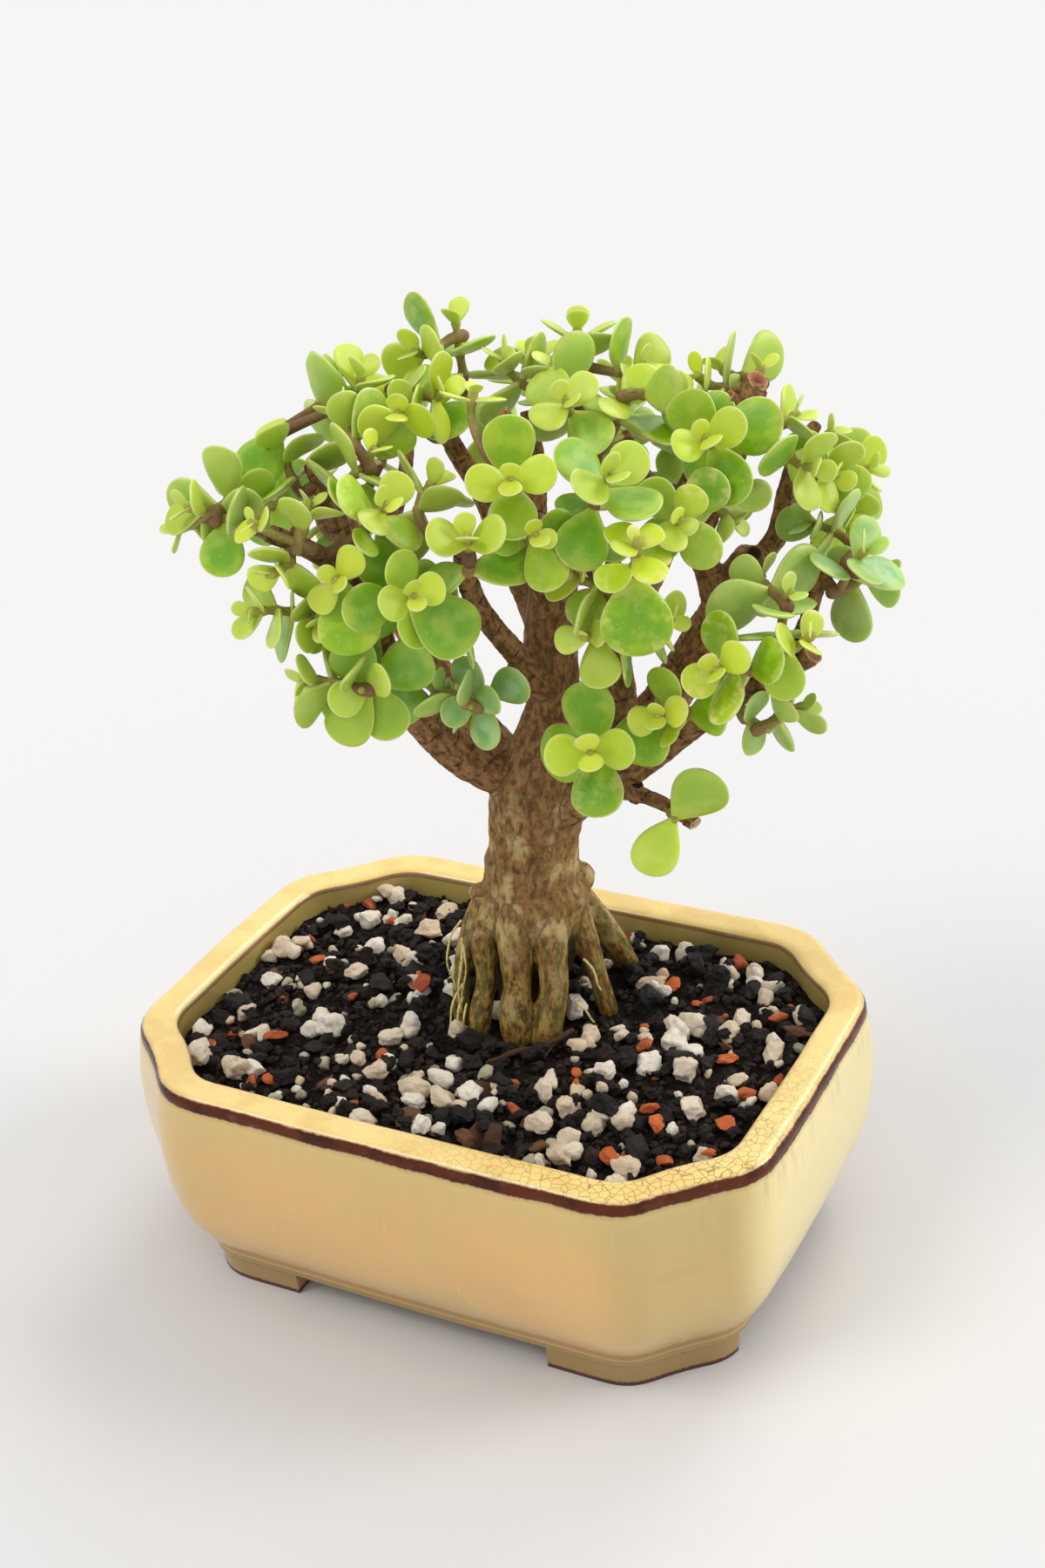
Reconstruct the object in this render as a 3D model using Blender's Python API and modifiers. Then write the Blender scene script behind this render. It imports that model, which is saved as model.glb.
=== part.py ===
"""Dwarf jade bonsai in its glazed pot: pot, drain meshes, mix, rooted trunk, limbs and leafy shoots."""
import math
import random

import bmesh
import bpy
import numpy as np
from mathutils import Matrix, Vector
from mathutils.bvhtree import BVHTree

MM = 0.001  # lengths below are in millimetres and are turned to metres as each mesh is made
GAP = 0.3  # clearance left wherever two pieces touch
WELD_DISTANCE = 1e-7

# Pot: a rectangle with dented, cut-off corners, standing on four bracket feet
POT_LENGTH = 152.0
POT_WIDTH = 112.0
CORNER_CUT = 22.0
CORNER_DENT = 1.2
CORNER_ROUND = 8.0
SIDE_BOW = 0.6
RIM_WIDTH = 8.5
FOOT_HEIGHT = 6.0
FLOOR_TOP = 12.0
BASE_INSET = 8.0
FOOT_WIDTH = 7.0
FOOT_LEAN = 0.6
FOOT_TOP = 8.0
FOOT_GAP_LONG = 62.0
FOOT_GAP_SHORT = 54.0
DRAIN_HOLE_DIAMETER = 11.0
DRAIN_HOLE_SPACING = 60.0

# Drain mesh laid over each hole
MESH_HOLES = 3
MESH_HOLE = 4.0
MESH_BAR = 1.5
MESH_THICKNESS = 0.8

# Potting mix
SOIL_HEIGHT = 49.5
SOIL_MOUND = 1.2
SOIL_LUMP = 0.25

# The tree stands a little right of the middle and is turned against the pot
TREE_PLACE = (3.0, 12.0)
TREE_TURN = math.radians(28.0)

# Outer wall of the pot as (height, inset from the rim's outline), from the base moulding up to the rim
POT_PROFILE = (
    (6.0, 8.6),
    (6.6, 7.8),
    (8.4, 7.6),
    (9.2, 8.0),
    (13.0, 4.7),
    (19.0, 1.6),
    (29.0, -0.7),
    (41.0, -1.3),
    (51.5, -0.2),
    (54.6, 0.3),
    (55.5, 1.4),
)

# Inner wall from the rim down to the floor, in the same way
INNER_LEAN = 0.3
INNER_PROFILE = (
    (55.5, 7.6),
    (54.6, RIM_WIDTH),
    (32.0, RIM_WIDTH + INNER_LEAN),
    (18.0, 12.0),
    (FLOOR_TOP, 18.5),
)

# Trunk and roots in the tree's own frame: x to the right, y to the back, z up from under the pot. The last
# number in each point is the radius there.
TRUNK = (
    (-1, 1, 44, 7.0),
    (-1, 1, 56, 8.0),
    (0, 0, 66, 10.5),
    (1, 0, 76, 12.2),
    (1, 0, 84, 11.0),
    (2, 0, 93, 10.2),
    (3, 0, 101, 10.6),
    (4, 0, 108, 10.2),
    (6, 0, 116, 7.6),
    (8, 0, 125, 6.0),
    (8, 0, 137, 5.9),
    (9, 0, 149, 5.2),
    (10, 0, 157, 5.6),
    (11, 0, 161, 4.8),
)
ROOTS = (
    ((-3, -7, 80, 4.6), (-4, -10, 72, 4.5), (-4, -12, 63, 3.6), (-5, -14, 55, 4.2), (-4, -15, 43, 3.0)),
    ((5, -7, 80, 4.5), (4, -11, 71, 4.2), (4, -13, 62, 3.7), (2, -15, 53, 4.0), (1, -17, 43, 2.8)),
    ((-7, -5, 80, 3.6), (-11, -6, 72, 3.2), (-11, -8, 62, 2.6), (-13, -10, 53, 3.0), (-14, -12, 43, 2.0)),
    ((-9, 0, 80, 3.2), (-13, -1, 73, 2.6), (-16, -3, 64, 2.2), (-17, -5, 54, 2.2), (-18, -6, 43, 1.6)),
    ((9, 1, 78, 4.6), (14, 5, 69, 4.0), (18, 9, 60, 3.6), (21, 13, 52, 3.3), (24, 17, 43, 2.4)),
    ((10, -3, 76, 3.6), (12, -5, 68, 3.2), (14, -4, 59, 2.6), (16, -5, 50, 2.6), (18, -6, 43, 1.8)),
    ((-6, 7, 78, 3.9), (-10, 11, 68, 3.4), (-13, 14, 58, 3.0), (-16, 18, 43, 2.2)),
    ((4, 8, 78, 4.2), (6, 13, 68, 3.6), (7, 17, 58, 3.2), (9, 22, 43, 2.4)),
)
KNOBS = ((12, 1, 82, 3.4), (-11, -2, 81, 2.6), (9, -6, 79, 2.8))

# Limbs in the same frame. Each is a list of routes: the first is the limb itself, the rest are its forks.
LIMBS = {
    "limb_low_left": (
        ((-2, 0, 108, 5.6), (-8, -2, 112, 4.8), (-14, -6, 119, 4.3), (-19, -9, 127, 4.1),
         (-24, -10, 136, 4.0), (-28, -9, 147, 3.6), (-30, -7, 155, 2.8), (-32, -3, 164, 2.4),
         (-35, 0, 173, 2.1), (-38, 3, 181, 1.9)),
        ((-26, -10, 143, 2.8), (-27, -13, 154, 2.3), (-32, -17, 165, 2.2), (-39, -20, 172, 2.0),
         (-45, -22, 176, 1.8)),
    ),
    "limb_upper_left": (
        ((8, 1, 138, 3.6), (4, 5, 148, 3.0), (0, 8, 159, 2.7), (-4, 12, 169, 2.4), (-9, 15, 178, 2.1),
         (-12, 15, 187, 1.8)),
    ),
    "limb_front_left": (
        ((7, -2, 128, 3.0), (3, -7, 137, 2.6), (-2, -13, 147, 2.4), (-6, -18, 156, 2.3), (-8, -22, 165, 2.2),
         (-8, -25, 173, 2.0)),
    ),
    "limb_middle_right": (
        ((9, -2, 108, 4.4), (17, -8, 116, 3.6), (22, -12, 126, 3.0), (22, -14, 136, 2.8), (21, -16, 146, 2.5),
         (20, -20, 156, 2.2), (21, -24, 166, 1.8)),
    ),
    "limb_right": (
        ((8, 2, 100, 6.4), (18, 5, 106, 5.8), (28, 7, 115, 5.2), (36, 7, 126, 5.0), (42, 5, 137, 4.8),
         (47, 3, 147, 4.6), (51, 1, 155, 3.8)),
        ((44, 4, 142, 3.4), (42, 1, 152, 3.0), (40, -2, 161, 2.9), (43, -4, 171, 2.8), (48, -3, 181, 2.7),
         (52, 0, 192, 2.6)),
        ((48, 3, 149, 2.6), (56, 5, 157, 2.1), (59, 8, 166, 1.9), (62, 10, 174, 1.7), (66, 12, 179, 1.5)),
    ),
    "limb_right_back": (
        ((45, 7, 140, 3.0), (54, 14, 149, 2.5), (63, 19, 157, 2.2), (67, 21, 161, 2.0), (71, 22, 168, 1.9)),
    ),
    "limb_lower_right": (
        ((7, -4, 101, 4.8), (15, -9, 108, 4.2), (24, -14, 116, 3.7), (34, -19, 126, 3.3), (43, -24, 135, 3.0),
         (51, -29, 142, 2.7), (58, -34, 148, 2.5)),
        ((44, -24, 136, 2.3), (54, -18, 139, 2.0), (60, -12, 144, 1.8), (63, -9, 151, 1.7),
         (66, -11, 157, 1.4)),
        ((13, -8, 105, 3.0), (18, -11, 108, 2.2), (22, -14, 110, 1.9), (27, -18, 110, 1.7),
         (31, -21, 109, 1.6), (35, -24, 107, 1.5)),
    ),
    "limb_top_front": (
        ((8, -2, 152, 3.4), (5, -7, 163, 2.6), (3, -11, 173, 2.4), (3, -14, 183, 2.6), (4, -16, 192, 2.9)),
    ),
    "limb_top_right": (
        ((11, 1, 150, 3.2), (15, 2, 160, 2.4), (17, 4, 170, 2.1), (20, 7, 179, 1.9), (23, 9, 187, 1.7)),
    ),
    "limb_back_left": (
        ((1, 3, 106, 5.0), (-7, 12, 113, 4.2), (-16, 21, 123, 3.7), (-24, 29, 134, 3.2), (-31, 34, 146, 2.7),
         (-36, 37, 158, 2.2)),
        ((-28, 32, 141, 2.4), (-26, 40, 150, 2.0), (-22, 45, 160, 1.8), (-20, 46, 169, 1.6)),
    ),
    "limb_back_right": (
        ((7, 4, 107, 4.8), (14, 13, 115, 4.0), (22, 23, 125, 3.5), (30, 31, 136, 3.1), (37, 36, 148, 2.7),
         (42, 38, 160, 2.2)),
    ),
    "limb_back": (
        ((8, 3, 122, 4.0), (7, 12, 131, 3.4), (6, 22, 141, 2.9), (7, 31, 153, 2.6), (8, 37, 165, 2.2),
         (7, 39, 176, 1.8)),
    ),
}

# Leafy shoots, grouped by the wood that carries them. Each row is one shoot: a list of tips, of which the
# first grows from the wood and the rest fork off the first. A tip is (x, y, z, heading, lift, roll, pairs of
# leaves, length of the largest leaf). Heading is in degrees from straight front towards the right, and lift
# above level.
SHOOTS = {
    "limb_low_left": (
        ("shoot_low_left", ((-30, -34, 147, -20, 20, 35, 5, 13), (-42, -28, 147, -45, 5, 60, 4, 12))),
        ("shoot_left_rosette", ((-18, -36, 167, 5, 30, 10, 5, 12),)),
        ("shoot_left_stub", ((-33, -30, 169, -15, 30, 50, 2, 8),)),
        ("shoot_left_level", ((-46, -28, 170, -65, 5, 25, 4, 11),)),
        ("shoot_left_drooping", ((-51, -24, 161, -60, 5, 70, 5, 11), (-38, -26, 158, -10, 10, 20, 4, 11))),
        ("shoot_limb_end", ((-48, -28, 181, -50, 50, 45, 2, 7), (-37, -22, 182, -10, 65, 10, 4, 11))),
        ("shoot_far_left", (
            (-62, -14, 180, -60, 25, 40, 4, 13), (-54, -2, 181, -90, 30, 0, 4, 12),
            (-65, -10, 174, -70, 10, 10, 3, 13),
        )),
        ("shoot_left_front_high", ((-22, -28, 183, 5, 45, 40, 4, 12),)),
        ("shoot_upper_left_front", ((-24, -16, 190, -5, 45, 5, 4, 13), (-31, -5, 194, -30, 65, 60, 3, 14))),
        ("shoot_upper_left_end", (
            (-46, 4, 188, -50, 40, 15, 4, 13), (-32, 14, 196, -30, 65, 30, 3, 14),
            (-26, 4, 199, -20, 75, 70, 3, 14),
        )),
    ),
    "limb_upper_left": (
        ("shoot_top_left", ((-7, 24, 203, 20, 75, 5, 4, 14), (-16, 17, 199, -20, 65, 30, 3, 14))),
        ("shoot_upper_left", (
            (-20, 5, 196, -20, 60, 30, 4, 13), (-10, -2, 196, -5, 70, 75, 3, 13),
            (-19, -10, 195, -10, 60, 0, 3, 13),
        )),
    ),
    "limb_front_left": (
        ("shoot_blue_cluster", ((-9, -26, 138, 5, 15, 20, 4, 11), (-17, -22, 141, -30, 20, 60, 5, 10))),
        ("shoot_front_left", ((-7, -35, 178, -5, 25, 5, 4, 14), (-13, -14, 182, -20, 60, 30, 3, 14))),
        ("shoot_left_inner", ((-14, -22, 158, -30, 20, 50, 4, 12),)),
    ),
    "limb_top_front": (
        ("shoot_top_front", ((2, -30, 187, 0, 30, 0, 4, 14), (-4, -10, 198, -20, 65, 45, 2, 7))),
        ("shoot_front_middle", ((6, -34, 177, 10, 40, 15, 4, 12),)),
    ),
    "limb_top_right": (
        ("shoot_top_middle", (
            (14, -9, 195, 10, 50, 45, 3, 12), (12, 8, 197, -10, 70, 10, 3, 14),
            (2, 12, 198, -20, 70, 30, 3, 13),
        )),
        ("shoot_top_high", ((18, 20, 201, 0, 80, 40, 3, 13), (31, 10, 195, 40, 60, 10, 3, 13))),
        ("shoot_top_right", ((27, -3, 194, 20, 55, 20, 3, 14), (36, 0, 193, 40, 60, 60, 3, 13))),
    ),
    "limb_middle_right": (
        ("shoot_front_rosette", ((21, -31, 187, 5, 30, 20, 5, 15),)),
        ("shoot_middle_sprig", ((25, -38, 176, 5, 60, 20, 4, 9), (12, -26, 165, -30, 30, 50, 3, 12))),
        ("shoot_middle_inner", ((14, -31, 154, -40, 15, 20, 3, 10), (32, -24, 153, 50, 15, 30, 4, 12))),
        ("shoot_low_rosette", ((14, -36, 131, 0, 25, 10, 4, 16),)),
    ),
    "limb_right": (
        ("shoot_right_front", ((34, -29, 176, 25, 30, 50, 4, 12), (47, -9, 167, 20, 45, 25, 4, 12))),
        ("shoot_right_rosette", ((40, -20, 189, 10, 40, 30, 5, 14),)),
        ("shoot_right_top", (
            (54, 6, 194, 20, 80, 10, 3, 11), (41, 7, 193, -10, 65, 40, 3, 13),
            (47, 15, 192, 30, 60, 80, 3, 13),
        )),
        ("shoot_right_upper", ((60, -4, 187, 45, 30, 10, 4, 13), (62, -14, 179, 35, 30, 60, 3, 13))),
        ("shoot_far_right_high", ((69, 10, 178, 60, 30, 15, 4, 12), (68, -3, 173, 45, 25, 50, 3, 13))),
    ),
    "limb_right_back": (
        ("shoot_far_right", (
            (78, 14, 168, 60, 25, 30, 4, 13), (75, 31, 163, 120, 0, 10, 5, 12),
            (72, 6, 160, 40, 30, 50, 3, 14),
        )),
    ),
    "limb_lower_right": (
        ("shoot_right_cluster", (
            (72, -16, 162, 50, 25, 40, 4, 14), (77, -6, 152, 60, 10, 10, 3, 14),
            (62, -2, 163, 20, 55, 20, 3, 13),
        )),
        ("shoot_right_level", ((55, -30, 160, 10, 20, 20, 4, 12), (51, -14, 158, 20, 50, 70, 3, 14))),
        ("shoot_lower_rosette", ((39, -40, 149, 5, 15, 35, 5, 13),)),
        ("shoot_lower_front", ((28, -32, 136, 10, 30, 15, 5, 12),)),
        ("shoot_right_hanging", ((50, -32, 131, 55, -35, 10, 3, 9), (58, -28, 134, 45, 10, 30, 4, 12))),
        ("shoot_cut_end", ((58, -38, 154, 0, 60, 40, 4, 10),)),
        ("shoot_twig_end", ((31, -28, 110, 5, 10, -45, 1, 14),)),
    ),
    "limb_back_left": (
        ("shoot_back_left", ((-46, 42, 167, -130, 25, 20, 5, 12), (-54, 22, 166, -100, 20, 50, 5, 12))),
        ("shoot_back_left_low", ((-37, 46, 149, -150, -5, 30, 5, 12), (-22, 55, 176, 180, 40, 10, 5, 12))),
    ),
    "limb_back_right": (
        ("shoot_back_right", ((50, 48, 168, 140, 30, 40, 5, 12), (38, 54, 152, 165, 0, 10, 5, 12))),
        ("shoot_back_right_high", ((28, 40, 185, 160, 60, 20, 5, 12), (22, 53, 168, 175, 20, 60, 5, 12))),
    ),
    "limb_back": (
        ("shoot_back", ((8, 44, 189, 180, 65, 0, 5, 12), (-2, 57, 169, 190, 15, 40, 5, 12))),
    ),
}

# Single old leaves that hang below the young pairs: shoot, foot of the leaf, heading, lift and length
LONE_LEAVES = (
    ("shoot_middle_sprig", (24, -39, 171), 5, -75, 17),
    ("shoot_left_rosette", (-14, -35, 165), 70, -35, 16),
    ("shoot_left_stub", (-32, -29, 167), 15, -70, 15),
    ("shoot_cut_end", (57, -37, 147), 0, -80, 14),
    ("shoot_upper_left_end", (-44, 5, 188), -50, -40, 13),
    ("shoot_far_left", (-57, -16, 176), -20, -60, 12),
    ("shoot_low_left", (-30, -30, 144), -60, -50, 13),
)

# How a young shoot is built up, pair by pair from its tip down: leaf size as a share of the largest, angle
# between leaf and stem, and distance below the tip
PAIR_SIZES = {
    1: (1.0,), 2: (0.6, 1.0), 3: (0.45, 0.76, 1.0), 4: (0.42, 0.72, 0.95, 1.0),
    5: (0.42, 0.7, 0.92, 1.05, 0.95),
}
PAIR_SPREADS = {1: (75,), 2: (45, 78), 3: (34, 62, 84), 4: (32, 56, 78, 94), 5: (32, 54, 72, 86, 98)}
PAIR_DEPTHS = (0.9, 3.2, 6.4, 10.2, 14.4)
USUAL_LEAF = 12.0
STEM_RADIUS = 1.3
STEM_TIP_RADIUS = 0.75
LEAF_SINK = 0.4
SEAT_GAP = 0.6  # between the bark and the middle of a stem's foot, whose corners lie nearer

# Leaf blade: widest at its belly, round at its end, each as (share of the length, share of the half width)
LEAF_BELLY = (0.62, 1.0)
LEAF_END = (0.97, 0.52)
LEAF_HALF_WIDTH = 0.41
LEAF_THICKNESS = 0.17
LEAF_CLEARANCE = 0.5
LEAF_REACH = 0.66  # leaves can touch when their middles are nearer than this share of both lengths
LEAF_FOOT = (0.0, 0.3)
FOOT_HALVES = (1.3, 0.9)  # half the width and half the height of a blade where it leaves its stem
SLIM_FOOT_HALVES = (0.5, 0.3)  # the same as neighbours on the same stem see it, since feet there may meet
GUARD_OUTLINE = ((0.2, 0.42), (0.62, 1.06), (0.99, 0.6))
FULL_GUARD_OUTLINE = ((-0.05, 0.45), (0.3, 0.75), (0.62, 1.1), (1.03, 0.66))
PROBE_SHARES = (0.08, 0.16, 0.25, 0.4, 0.55, 0.7, 0.85, 1.02)  # where a leaf's room from the wood is measured
STEM_START = 1.8  # the first run of a stem, straight out of the bark that carries it
SEAT_ROOM = 2.2  # distance that a stem's seat keeps from other wood
LIMB_FOOT_KNOTS = 6  # how many points of a limb can come near the limbs laid after it
JOINT_SPACING = 1.4
CUT_END_CLEAR = 4.0
SQUARE_REACH = 1.13  # corner of a square stem over the radius of a round one of like thickness
NODE_HALF = 0.6  # half the height of the stem joint that a pair of leaves springs from

# Ways to move a leaf aside when its place is taken: share of its size, more spread, turn about the stem
LEAF_TRIES = (
    (1.0, 0, 0), (1.0, 12, 0), (1.0, -12, 0), (1.0, 0, 16), (1.0, 0, -16), (0.88, 0, 0), (0.88, 16, 16),
    (0.88, -16, -16), (0.88, 16, -16), (0.88, -16, 16), (0.88, 26, 0), (0.75, 0, 0), (0.75, 18, 22),
    (0.75, -18, -22), (0.75, 18, -22), (0.75, -18, 22), (0.75, 30, 0), (0.62, 0, 0), (0.62, 24, 30),
    (0.62, -24, -30), (0.62, 24, -30), (0.62, -24, 30), (0.5, 0, 0), (0.5, 30, 0), (0.5, -20, 0),
)
STEM_TRIES = (
    (0, 0), (4, 0), (-4, 0), (0, 4), (0, -4), (8, 0), (-8, 0), (0, 8), (6, 6), (-6, 6), (12, 0), (-12, 0),
)
SEAT_RISE = 5  # a seat this far below its tip needs no stem that bends back down
STEEP_COST = 0.6
CROWDING_COST = 10
STEM_THICKENING = 0.012  # radius gained per millimetre that a stem's seat and tip lie apart
WANTED_ROOM = 0.5  # a stem this clear of other wood is looked at no further
SEED = 7


# ---- where the wood and the leaves go, worked out in the tree's frame, in millimetres

def direction(heading, lift):
    """Unit vector at a heading in degrees from straight front towards the right, lifted above level."""
    h, up = math.radians(heading), math.radians(lift)
    return Vector((math.sin(h) * math.cos(up), -math.cos(h) * math.cos(up), math.sin(up)))


def across(vector, axis):
    """The part of a vector square to an axis, as a unit vector."""
    flat = vector - axis * vector.dot(axis)
    if flat.length < 1e-4:
        flat = axis.orthogonal()
    return flat.normalized()


def walk(route, spacing=1.5):
    """Points along a route of (point, radius) pairs, each as (point, radius, heading of the route)."""
    for (start, first_radius), (end, last_radius) in zip(route, route[1:]):
        steps = max(1, round((end - start).length / spacing))
        for step in range(steps):
            share = step / steps
            radius = first_radius + (last_radius - first_radius) * share
            yield start.lerp(end, share), radius, (end - start).normalized()


def route_of(points):
    return [(Vector(point[:3]), point[3]) for point in points]


class Wood:
    """Every trunk, root, limb and stem laid so far, as straight runs with a radius at each end."""

    def __init__(self):
        self.runs = []

    def add(self, owner, route):
        for (start, first_radius), (end, last_radius) in zip(route, route[1:]):
            self.runs.append((owner, start, end, first_radius, last_radius))

    def clearance(self, points, skip=()):
        """Smallest distance from the points to the bark of any wood whose owner isn't skipped."""
        kept = [run for run in self.runs if run[0] not in skip]
        start = np.array([run[1] for run in kept])
        along = np.array([run[2] for run in kept]) - start
        radii = np.array([run[3:5] for run in kept])
        places = np.array([tuple(point) for point in points])[:, None, :]
        share = ((places - start) * along).sum(2) / (along ** 2).sum(1)
        share = np.clip(share, 0, 1)
        gap = np.linalg.norm(places - start - share[..., None] * along, axis=2)
        return (gap - radii[:, 0] - share * (radii[:, 1] - radii[:, 0])).min()


def stem_route(start, leave, tip, arrive, bend):
    """A curved stem from its seat to its tip, bent aside by (sideways, upwards)."""
    reach = (tip - start).length / 3
    side = across(Vector((0, 0, 1)).cross(tip - start), (tip - start).normalized())
    push = side * bend[0] + Vector((0, 0, 1)) * bend[1]
    first, last = start + leave * reach + push, tip - arrive * reach + push
    steps = 3 if reach < 5 else 4
    points = [start]
    for step in range(1, steps + 1):
        t = step / steps
        held = first * 3 * t * (1 - t) ** 2 + last * 3 * t * t * (1 - t)
        points.append(start * (1 - t) ** 3 + held + tip * t ** 3)
    points.insert(1, start + leave * min(STEM_START, reach))
    thick = STEM_RADIUS + STEM_THICKENING * (tip - start).length
    radii = [thick + (STEM_TIP_RADIUS - thick) * index / (len(points) - 1) for index in range(len(points))]
    return list(zip(points, radii))


def seat_on(wood, carrier, routes, tip):
    """The best place on the carrying wood for a stem: (seat on the bark, leaving direction)."""
    best = None
    for route in routes:
        end = route[-1][0]
        for point, radius, heading in walk(route):
            if (point - end).length < CUT_END_CLEAR:
                continue
            leave = across(tip - point, heading)
            seat = point + leave * (radius + SEAT_GAP)
            crowding = max(0.0, SEAT_ROOM - wood.clearance([seat], skip=(carrier,)))
            steepness = max(0.0, point.z + SEAT_RISE - tip.z)
            score = (tip - point).length - radius + STEEP_COST * steepness + CROWDING_COST * crowding
            if best is None or score < best[0]:
                best = (score, seat, leave)
    return best[1:]


def length_of(route):
    return sum((end - start).length for (start, _), (end, _) in zip(route, route[1:]))


def point_below(route, depth):
    """The point and the stem's heading at a distance below the tip, or None where the stem is too short."""
    left = depth
    for (end, _), (start, _) in zip(reversed(route), reversed(route[:-1])):
        length = (end - start).length
        if left <= length:
            return end.lerp(start, left / length), (end - start).normalized()
        left -= length
    return None


def pair_depths(tip_row):
    """How far below its tip each pair of a shoot springs."""
    return [depth * tip_row[7] / USUAL_LEAF for depth in PAIR_DEPTHS[:tip_row[6]]]


def free_depths(route, taken):
    """Depths at which another leaf or fork can leave a stem, clear of the joints already taken."""
    steps = [0.5 * step for step in range(2, round(2 * length_of(route)) - 3)]
    return [step for step in steps if all(abs(step - joint) > JOINT_SPACING for joint in taken)]


def fork_seat(route, tip_row):
    """Where a fork leaves the first stem: its depth below that stem's tip, the point and the direction."""
    tip = Vector(tip_row[:3])

    def cost(depth):
        point, _ = point_below(route, depth)
        return (point - tip).length + max(0.0, point.z - tip.z)

    depth = min(free_depths(route, [0.0]), key=cost)
    point, _ = point_below(route, depth)
    return depth, point, (tip - point).normalized()


def lay_stem(wood, name, carrier, start, leave, tip_row):
    """The route of one stem, by the first of the bends tried that clears all other wood."""
    tip, arrive = Vector(tip_row[:3]), direction(tip_row[3], tip_row[4])
    choices = []
    for bend in STEM_TRIES:
        route = stem_route(start, leave, tip, arrive, bend)
        room = 1.0
        for point, radius, _ in walk(route):
            beside = (point - start).length < STEM_START - 0.1
            room = min(room, wood.clearance([point], skip=(name, carrier) if beside else (name,)) - radius)
        choices.append((min(room, WANTED_ROOM), -abs(bend[0]) - abs(bend[1]), route))
        if room > WANTED_ROOM:
            break
    room, _, route = max(choices, key=lambda choice: choice[:2])
    if room < GAP:
        print(f"{name}: a stem clears the wood by only {room:.2f} mm")
    return route


def leaf_rim(place, length, outline):
    """The edge of a blade, in order round it."""
    half = length * LEAF_HALF_WIDTH
    right = [(share * length, wide * half) for share, wide in outline]
    rim = right + [(x, -y) for x, y in reversed(right)]
    return [place @ Vector((x, y, 0)) for x, y in rim]


def leaf_crown(place, length, swell=0.0):
    """The middles of a blade's upper and lower faces."""
    middle, thick = LEAF_BELLY[0] * length, length * LEAF_THICKNESS / 2 + swell
    return place @ Vector((middle, 0, thick)), place @ Vector((middle, 0, -thick))


def leaf_place(foot, pointing, facing):
    """The frame of a leaf: x along the blade, z out of its upper face."""
    z = across(facing, pointing)
    frame = Matrix((pointing, z.cross(pointing), z)).transposed().to_4x4()
    frame.translation = foot
    return frame


def blade(place, length, foot):
    """A blade from its foot over its belly to its end, which is an edge."""
    half, thick = length * LEAF_HALF_WIDTH, length * LEAF_THICKNESS / 2
    belly, end = LEAF_BELLY[0] * length, LEAF_END[0] * length
    rings = ((0.0, *foot), (belly, half, thick), (end, LEAF_END[1] * half, 0.0))
    points = []
    for x, wide, high in rings:
        spots = ((x, wide, 0), (x, 0, high), (x, -wide, 0), (x, 0, -high))
        points += [place @ Vector(spot) for spot in spots]
    faces = []
    for first in range(0, 8, 4):
        for side in range(4):
            following = (side + 1) % 4
            faces.append((first + side, first + following, first + 4 + following, first + 4 + side))
    return points, faces


def leaf_probes(place, length):
    """Points spread over both faces of a blade."""
    half, thick = length * LEAF_HALF_WIDTH, length * LEAF_THICKNESS / 2
    spots = []
    for share in PROBE_SHARES:
        wide = half * np.interp(share, *zip(LEAF_FOOT, LEAF_BELLY, LEAF_END))
        spots += [(share * length, y * wide, 0) for y in (-1, -0.5, 0.5, 1)]
        spots += [(share * length, 0, thick), (share * length, 0, -thick)]
    return [place @ Vector(spot) for spot in spots]


def leaf_guard(place, length, outline):
    """The room that a blade needs round it."""
    rim = leaf_rim(place, length, outline)
    lift = place.to_3x3() @ Vector((0, 0, LEAF_CLEARANCE))
    count = len(rim)
    points = [p + lift for p in rim] + [p - lift for p in rim] + [*leaf_crown(place, length, LEAF_CLEARANCE)]
    faces = []
    for index in range(count):
        following = (index + 1) % count
        faces.append((index, following, 2 * count))
        faces.append((count + following, count + index, 2 * count + 1))
        faces.append((index, count + index, count + following))
        faces.append((index, count + following, following))
    return points, faces


class Foliage:
    """The leaves laid so far, each kept with a search tree so that the next ones can stay clear of it."""

    def __init__(self, wood):
        self.wood = wood
        self.leaves = []

    def fits(self, place, length, name):
        """Whether a leaf of a shoot has room. Beside leaves of the same shoot its foot needs none."""
        if self.wood.clearance(leaf_probes(place, length), skip=(name,)) < GAP:
            return False
        middle = place @ Vector((length * LEAF_BELLY[0], 0, 0))
        own = BVHTree.FromPolygons(*leaf_guard(place, length, GUARD_OUTLINE))
        full = BVHTree.FromPolygons(*leaf_guard(place, length, FULL_GUARD_OUTLINE))
        for leaf in self.leaves:
            near = (leaf["middle"] - middle).length < (leaf["length"] + length) * LEAF_REACH
            if near and leaf["name"] == name and own.overlap(leaf["slim_tree"]):
                return False
            if near and leaf["name"] != name and full.overlap(leaf["tree"]):
                return False
        return True

    def add(self, name, tip, depth, place, length):
        """Keeps a leaf of one tip of a shoot, which springs from the stem at a depth below that tip."""
        self.leaves.append({
            "name": name, "tip": tip, "depth": depth, "place": place, "length": length,
            "middle": place @ Vector((length * LEAF_BELLY[0], 0, 0)),
            "tree": BVHTree.FromPolygons(*blade(place, length, FOOT_HALVES)),
            "slim_tree": BVHTree.FromPolygons(*blade(place, length, SLIM_FOOT_HALVES)),
        })


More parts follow.
